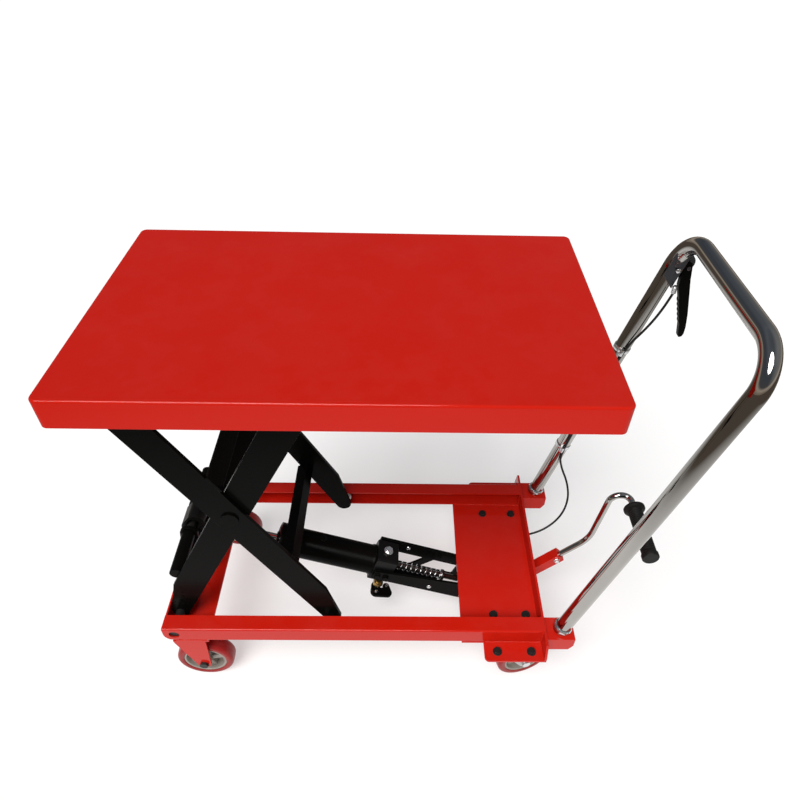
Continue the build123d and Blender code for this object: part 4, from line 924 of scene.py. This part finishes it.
# ------------------------------------------------------------------ cable fittings
# Two sprung straps hold the cable to the leg, and a knurled adjuster sits under the lever.
lean = Matrix.Rotation(radians(LEAN), 4, "Y")
fittings = []
for z in STRAP_HEIGHTS:
    strap = turned("strap", [(TUBE_RADIUS - 0.1, -5), (TUBE_RADIUS + 1.3, -5), (TUBE_RADIUS + 1.5, -4.6),
                             (TUBE_RADIUS + 1.5, 4.6), (TUBE_RADIUS + 1.3, 5), (TUBE_RADIUS - 0.1, 5)],
                   steps=64, closed=True)
    fittings.append(moved(strap, Matrix.Translation(leg_axis(1, z)) @ lean))
    ferrule = turned("ferrule", [(2.4, -7), (4.2, -7), (4.4, -6.4), (4.4, 6.4), (4.2, 7), (2.4, 7)],
                     steps=32, closed=True)
    fittings.append(moved(ferrule, Matrix.Translation(beside_leg(z)) @ lean))
adjuster = turned("adjuster", [(0, -10), (3.6, -10), (4.6, -9.4), (4.6, -3), (3.4, -2.6), (3.4, -1.6),
                               (5, -1.2), (5, 3.4), (3.4, 3.8), (3.4, 6), (0, 6)], steps=40)
fittings.append(moved(adjuster, Matrix.Translation(at(*ADJUSTER))))
cable_fittings = joined("cable_fittings", fittings)
fit(cable_fittings, "chassis", "zinc_plate", bright_zinc, "cable_clips")

# ------------------------------------------------------------------ floor and light
# Seamless pale floor that glows a little, and one broad soft sun from the front, high on the left.
bpy.ops.object.select_all(action="DESELECT")
bpy.ops.mesh.primitive_grid_add(x_subdivisions=2, y_subdivisions=2, size=40, location=(0, 0, 0))
floor = bpy.context.view_layer.objects.active
floor.name = "floor"
paper = bpy.data.materials.new("paper")
paper.use_nodes = True
paper_tree = paper.node_tree
paper_grain = put(paper_tree, "TexNoise", Scale=3.0, Detail=2.0)
paper_colour = colour_mix(paper_tree, paper_grain.outputs["Fac"], (0.50, 0.50, 0.50), (0.52, 0.52, 0.52))
paper_sheet = paper_tree.nodes["Principled BSDF"]
# Painted shade for reflections: to glossy rays only, the sheet's colour and glow darken from 0.75 m to
# 1.9 m out from its middle, so polished metal and enamel mirror a dim room.
paper_place = put(paper_tree, "TexCoord")
paper_reach = put(paper_tree, "VectorMath", operation="LENGTH")
link(paper_tree, paper_place, "Object", paper_reach, 0)
paper_edge = put(paper_tree, "MapRange", From_Min=0.75, From_Max=1.9)
link(paper_tree, paper_reach, "Value", paper_edge, "Value")
paper_path = put(paper_tree, "LightPath")
paper_dim = put(paper_tree, "Math", operation="MULTIPLY")
link(paper_tree, paper_edge, "Result", paper_dim, 0)
link(paper_tree, paper_path, "Is Glossy Ray", paper_dim, 1)
paper_tree.links.new(colour_mix(paper_tree, paper_dim.outputs["Value"], paper_colour, (0.055, 0.045, 0.036)),
                     paper_sheet.inputs["Base Color"])
paper_tree.links.new(
    colour_mix(paper_tree, paper_dim.outputs["Value"], (1.0, 0.995, 0.985), (0.12, 0.095, 0.075)),
    paper_sheet.inputs["Emission Color"])
paper_sheet.inputs["Roughness"].default_value = 0.9
paper_sheet.inputs["Specular IOR Level"].default_value = 0.0
paper_sheet.inputs["Emission Strength"].default_value = 0.50
floor.data.materials.append(paper)

# The room above is dim, so the chrome and the enamel mirror a dark ceiling that pales towards the
# floor line and to the right; the eye itself sees a plain pale wall.
world = bpy.data.worlds.new("studio")
world.use_nodes = True
room = world.node_tree
room_way = put(room, "TexCoord")
room_height = put(room, "SeparateXYZ")
link(room, room_way, "Generated", room_height, "Vector")
ceiling = put(room, "ValToRGB")
link(room, room_height, "Z", ceiling, "Fac")
ramp = ceiling.color_ramp
ramp.elements[0].position, ramp.elements[0].color = 0.0, (0.30, 0.24, 0.19, 1)
ramp.elements[1].position, ramp.elements[1].color = 1.0, (0.11, 0.125, 0.15, 1)
for position, colour in ((0.10, (0.55, 0.47, 0.39)), (0.20, (0.10, 0.10, 0.105)), (0.5, (0.075, 0.09, 0.115)),
                         (0.8, (0.15, 0.17, 0.20))):
    ramp.elements.new(position).color = (*colour, 1)
right_pale = put(room, "MapRange", From_Min=0.1, From_Max=1.0, To_Max=0.35)
link(room, room_height, "X", right_pale, "Value")
walls = colour_mix(room, right_pale.outputs["Result"], ceiling.outputs["Color"], (0.75, 0.72, 0.68))
eye_ray = put(room, "LightPath")
seen = colour_mix(room, eye_ray.outputs["Is Camera Ray"], walls, (0.97, 0.97, 0.97))
room.links.new(seen, room.nodes["Background"].inputs["Color"])
bpy.context.scene.world = world
bpy.context.scene.view_settings.view_transform = "Standard"

key = bpy.data.lights.new("key", "SUN")
key.energy, key.angle, key.color = 3.6, radians(38), (1.0, 0.985, 0.965)
key_holder = bpy.data.objects.new("key", key)
bpy.context.scene.collection.objects.link(key_holder)
key_holder.matrix_world = Vector((0.30, 0.62, -1.0)).to_track_quat("-Z", "Y").to_matrix().to_4x4()
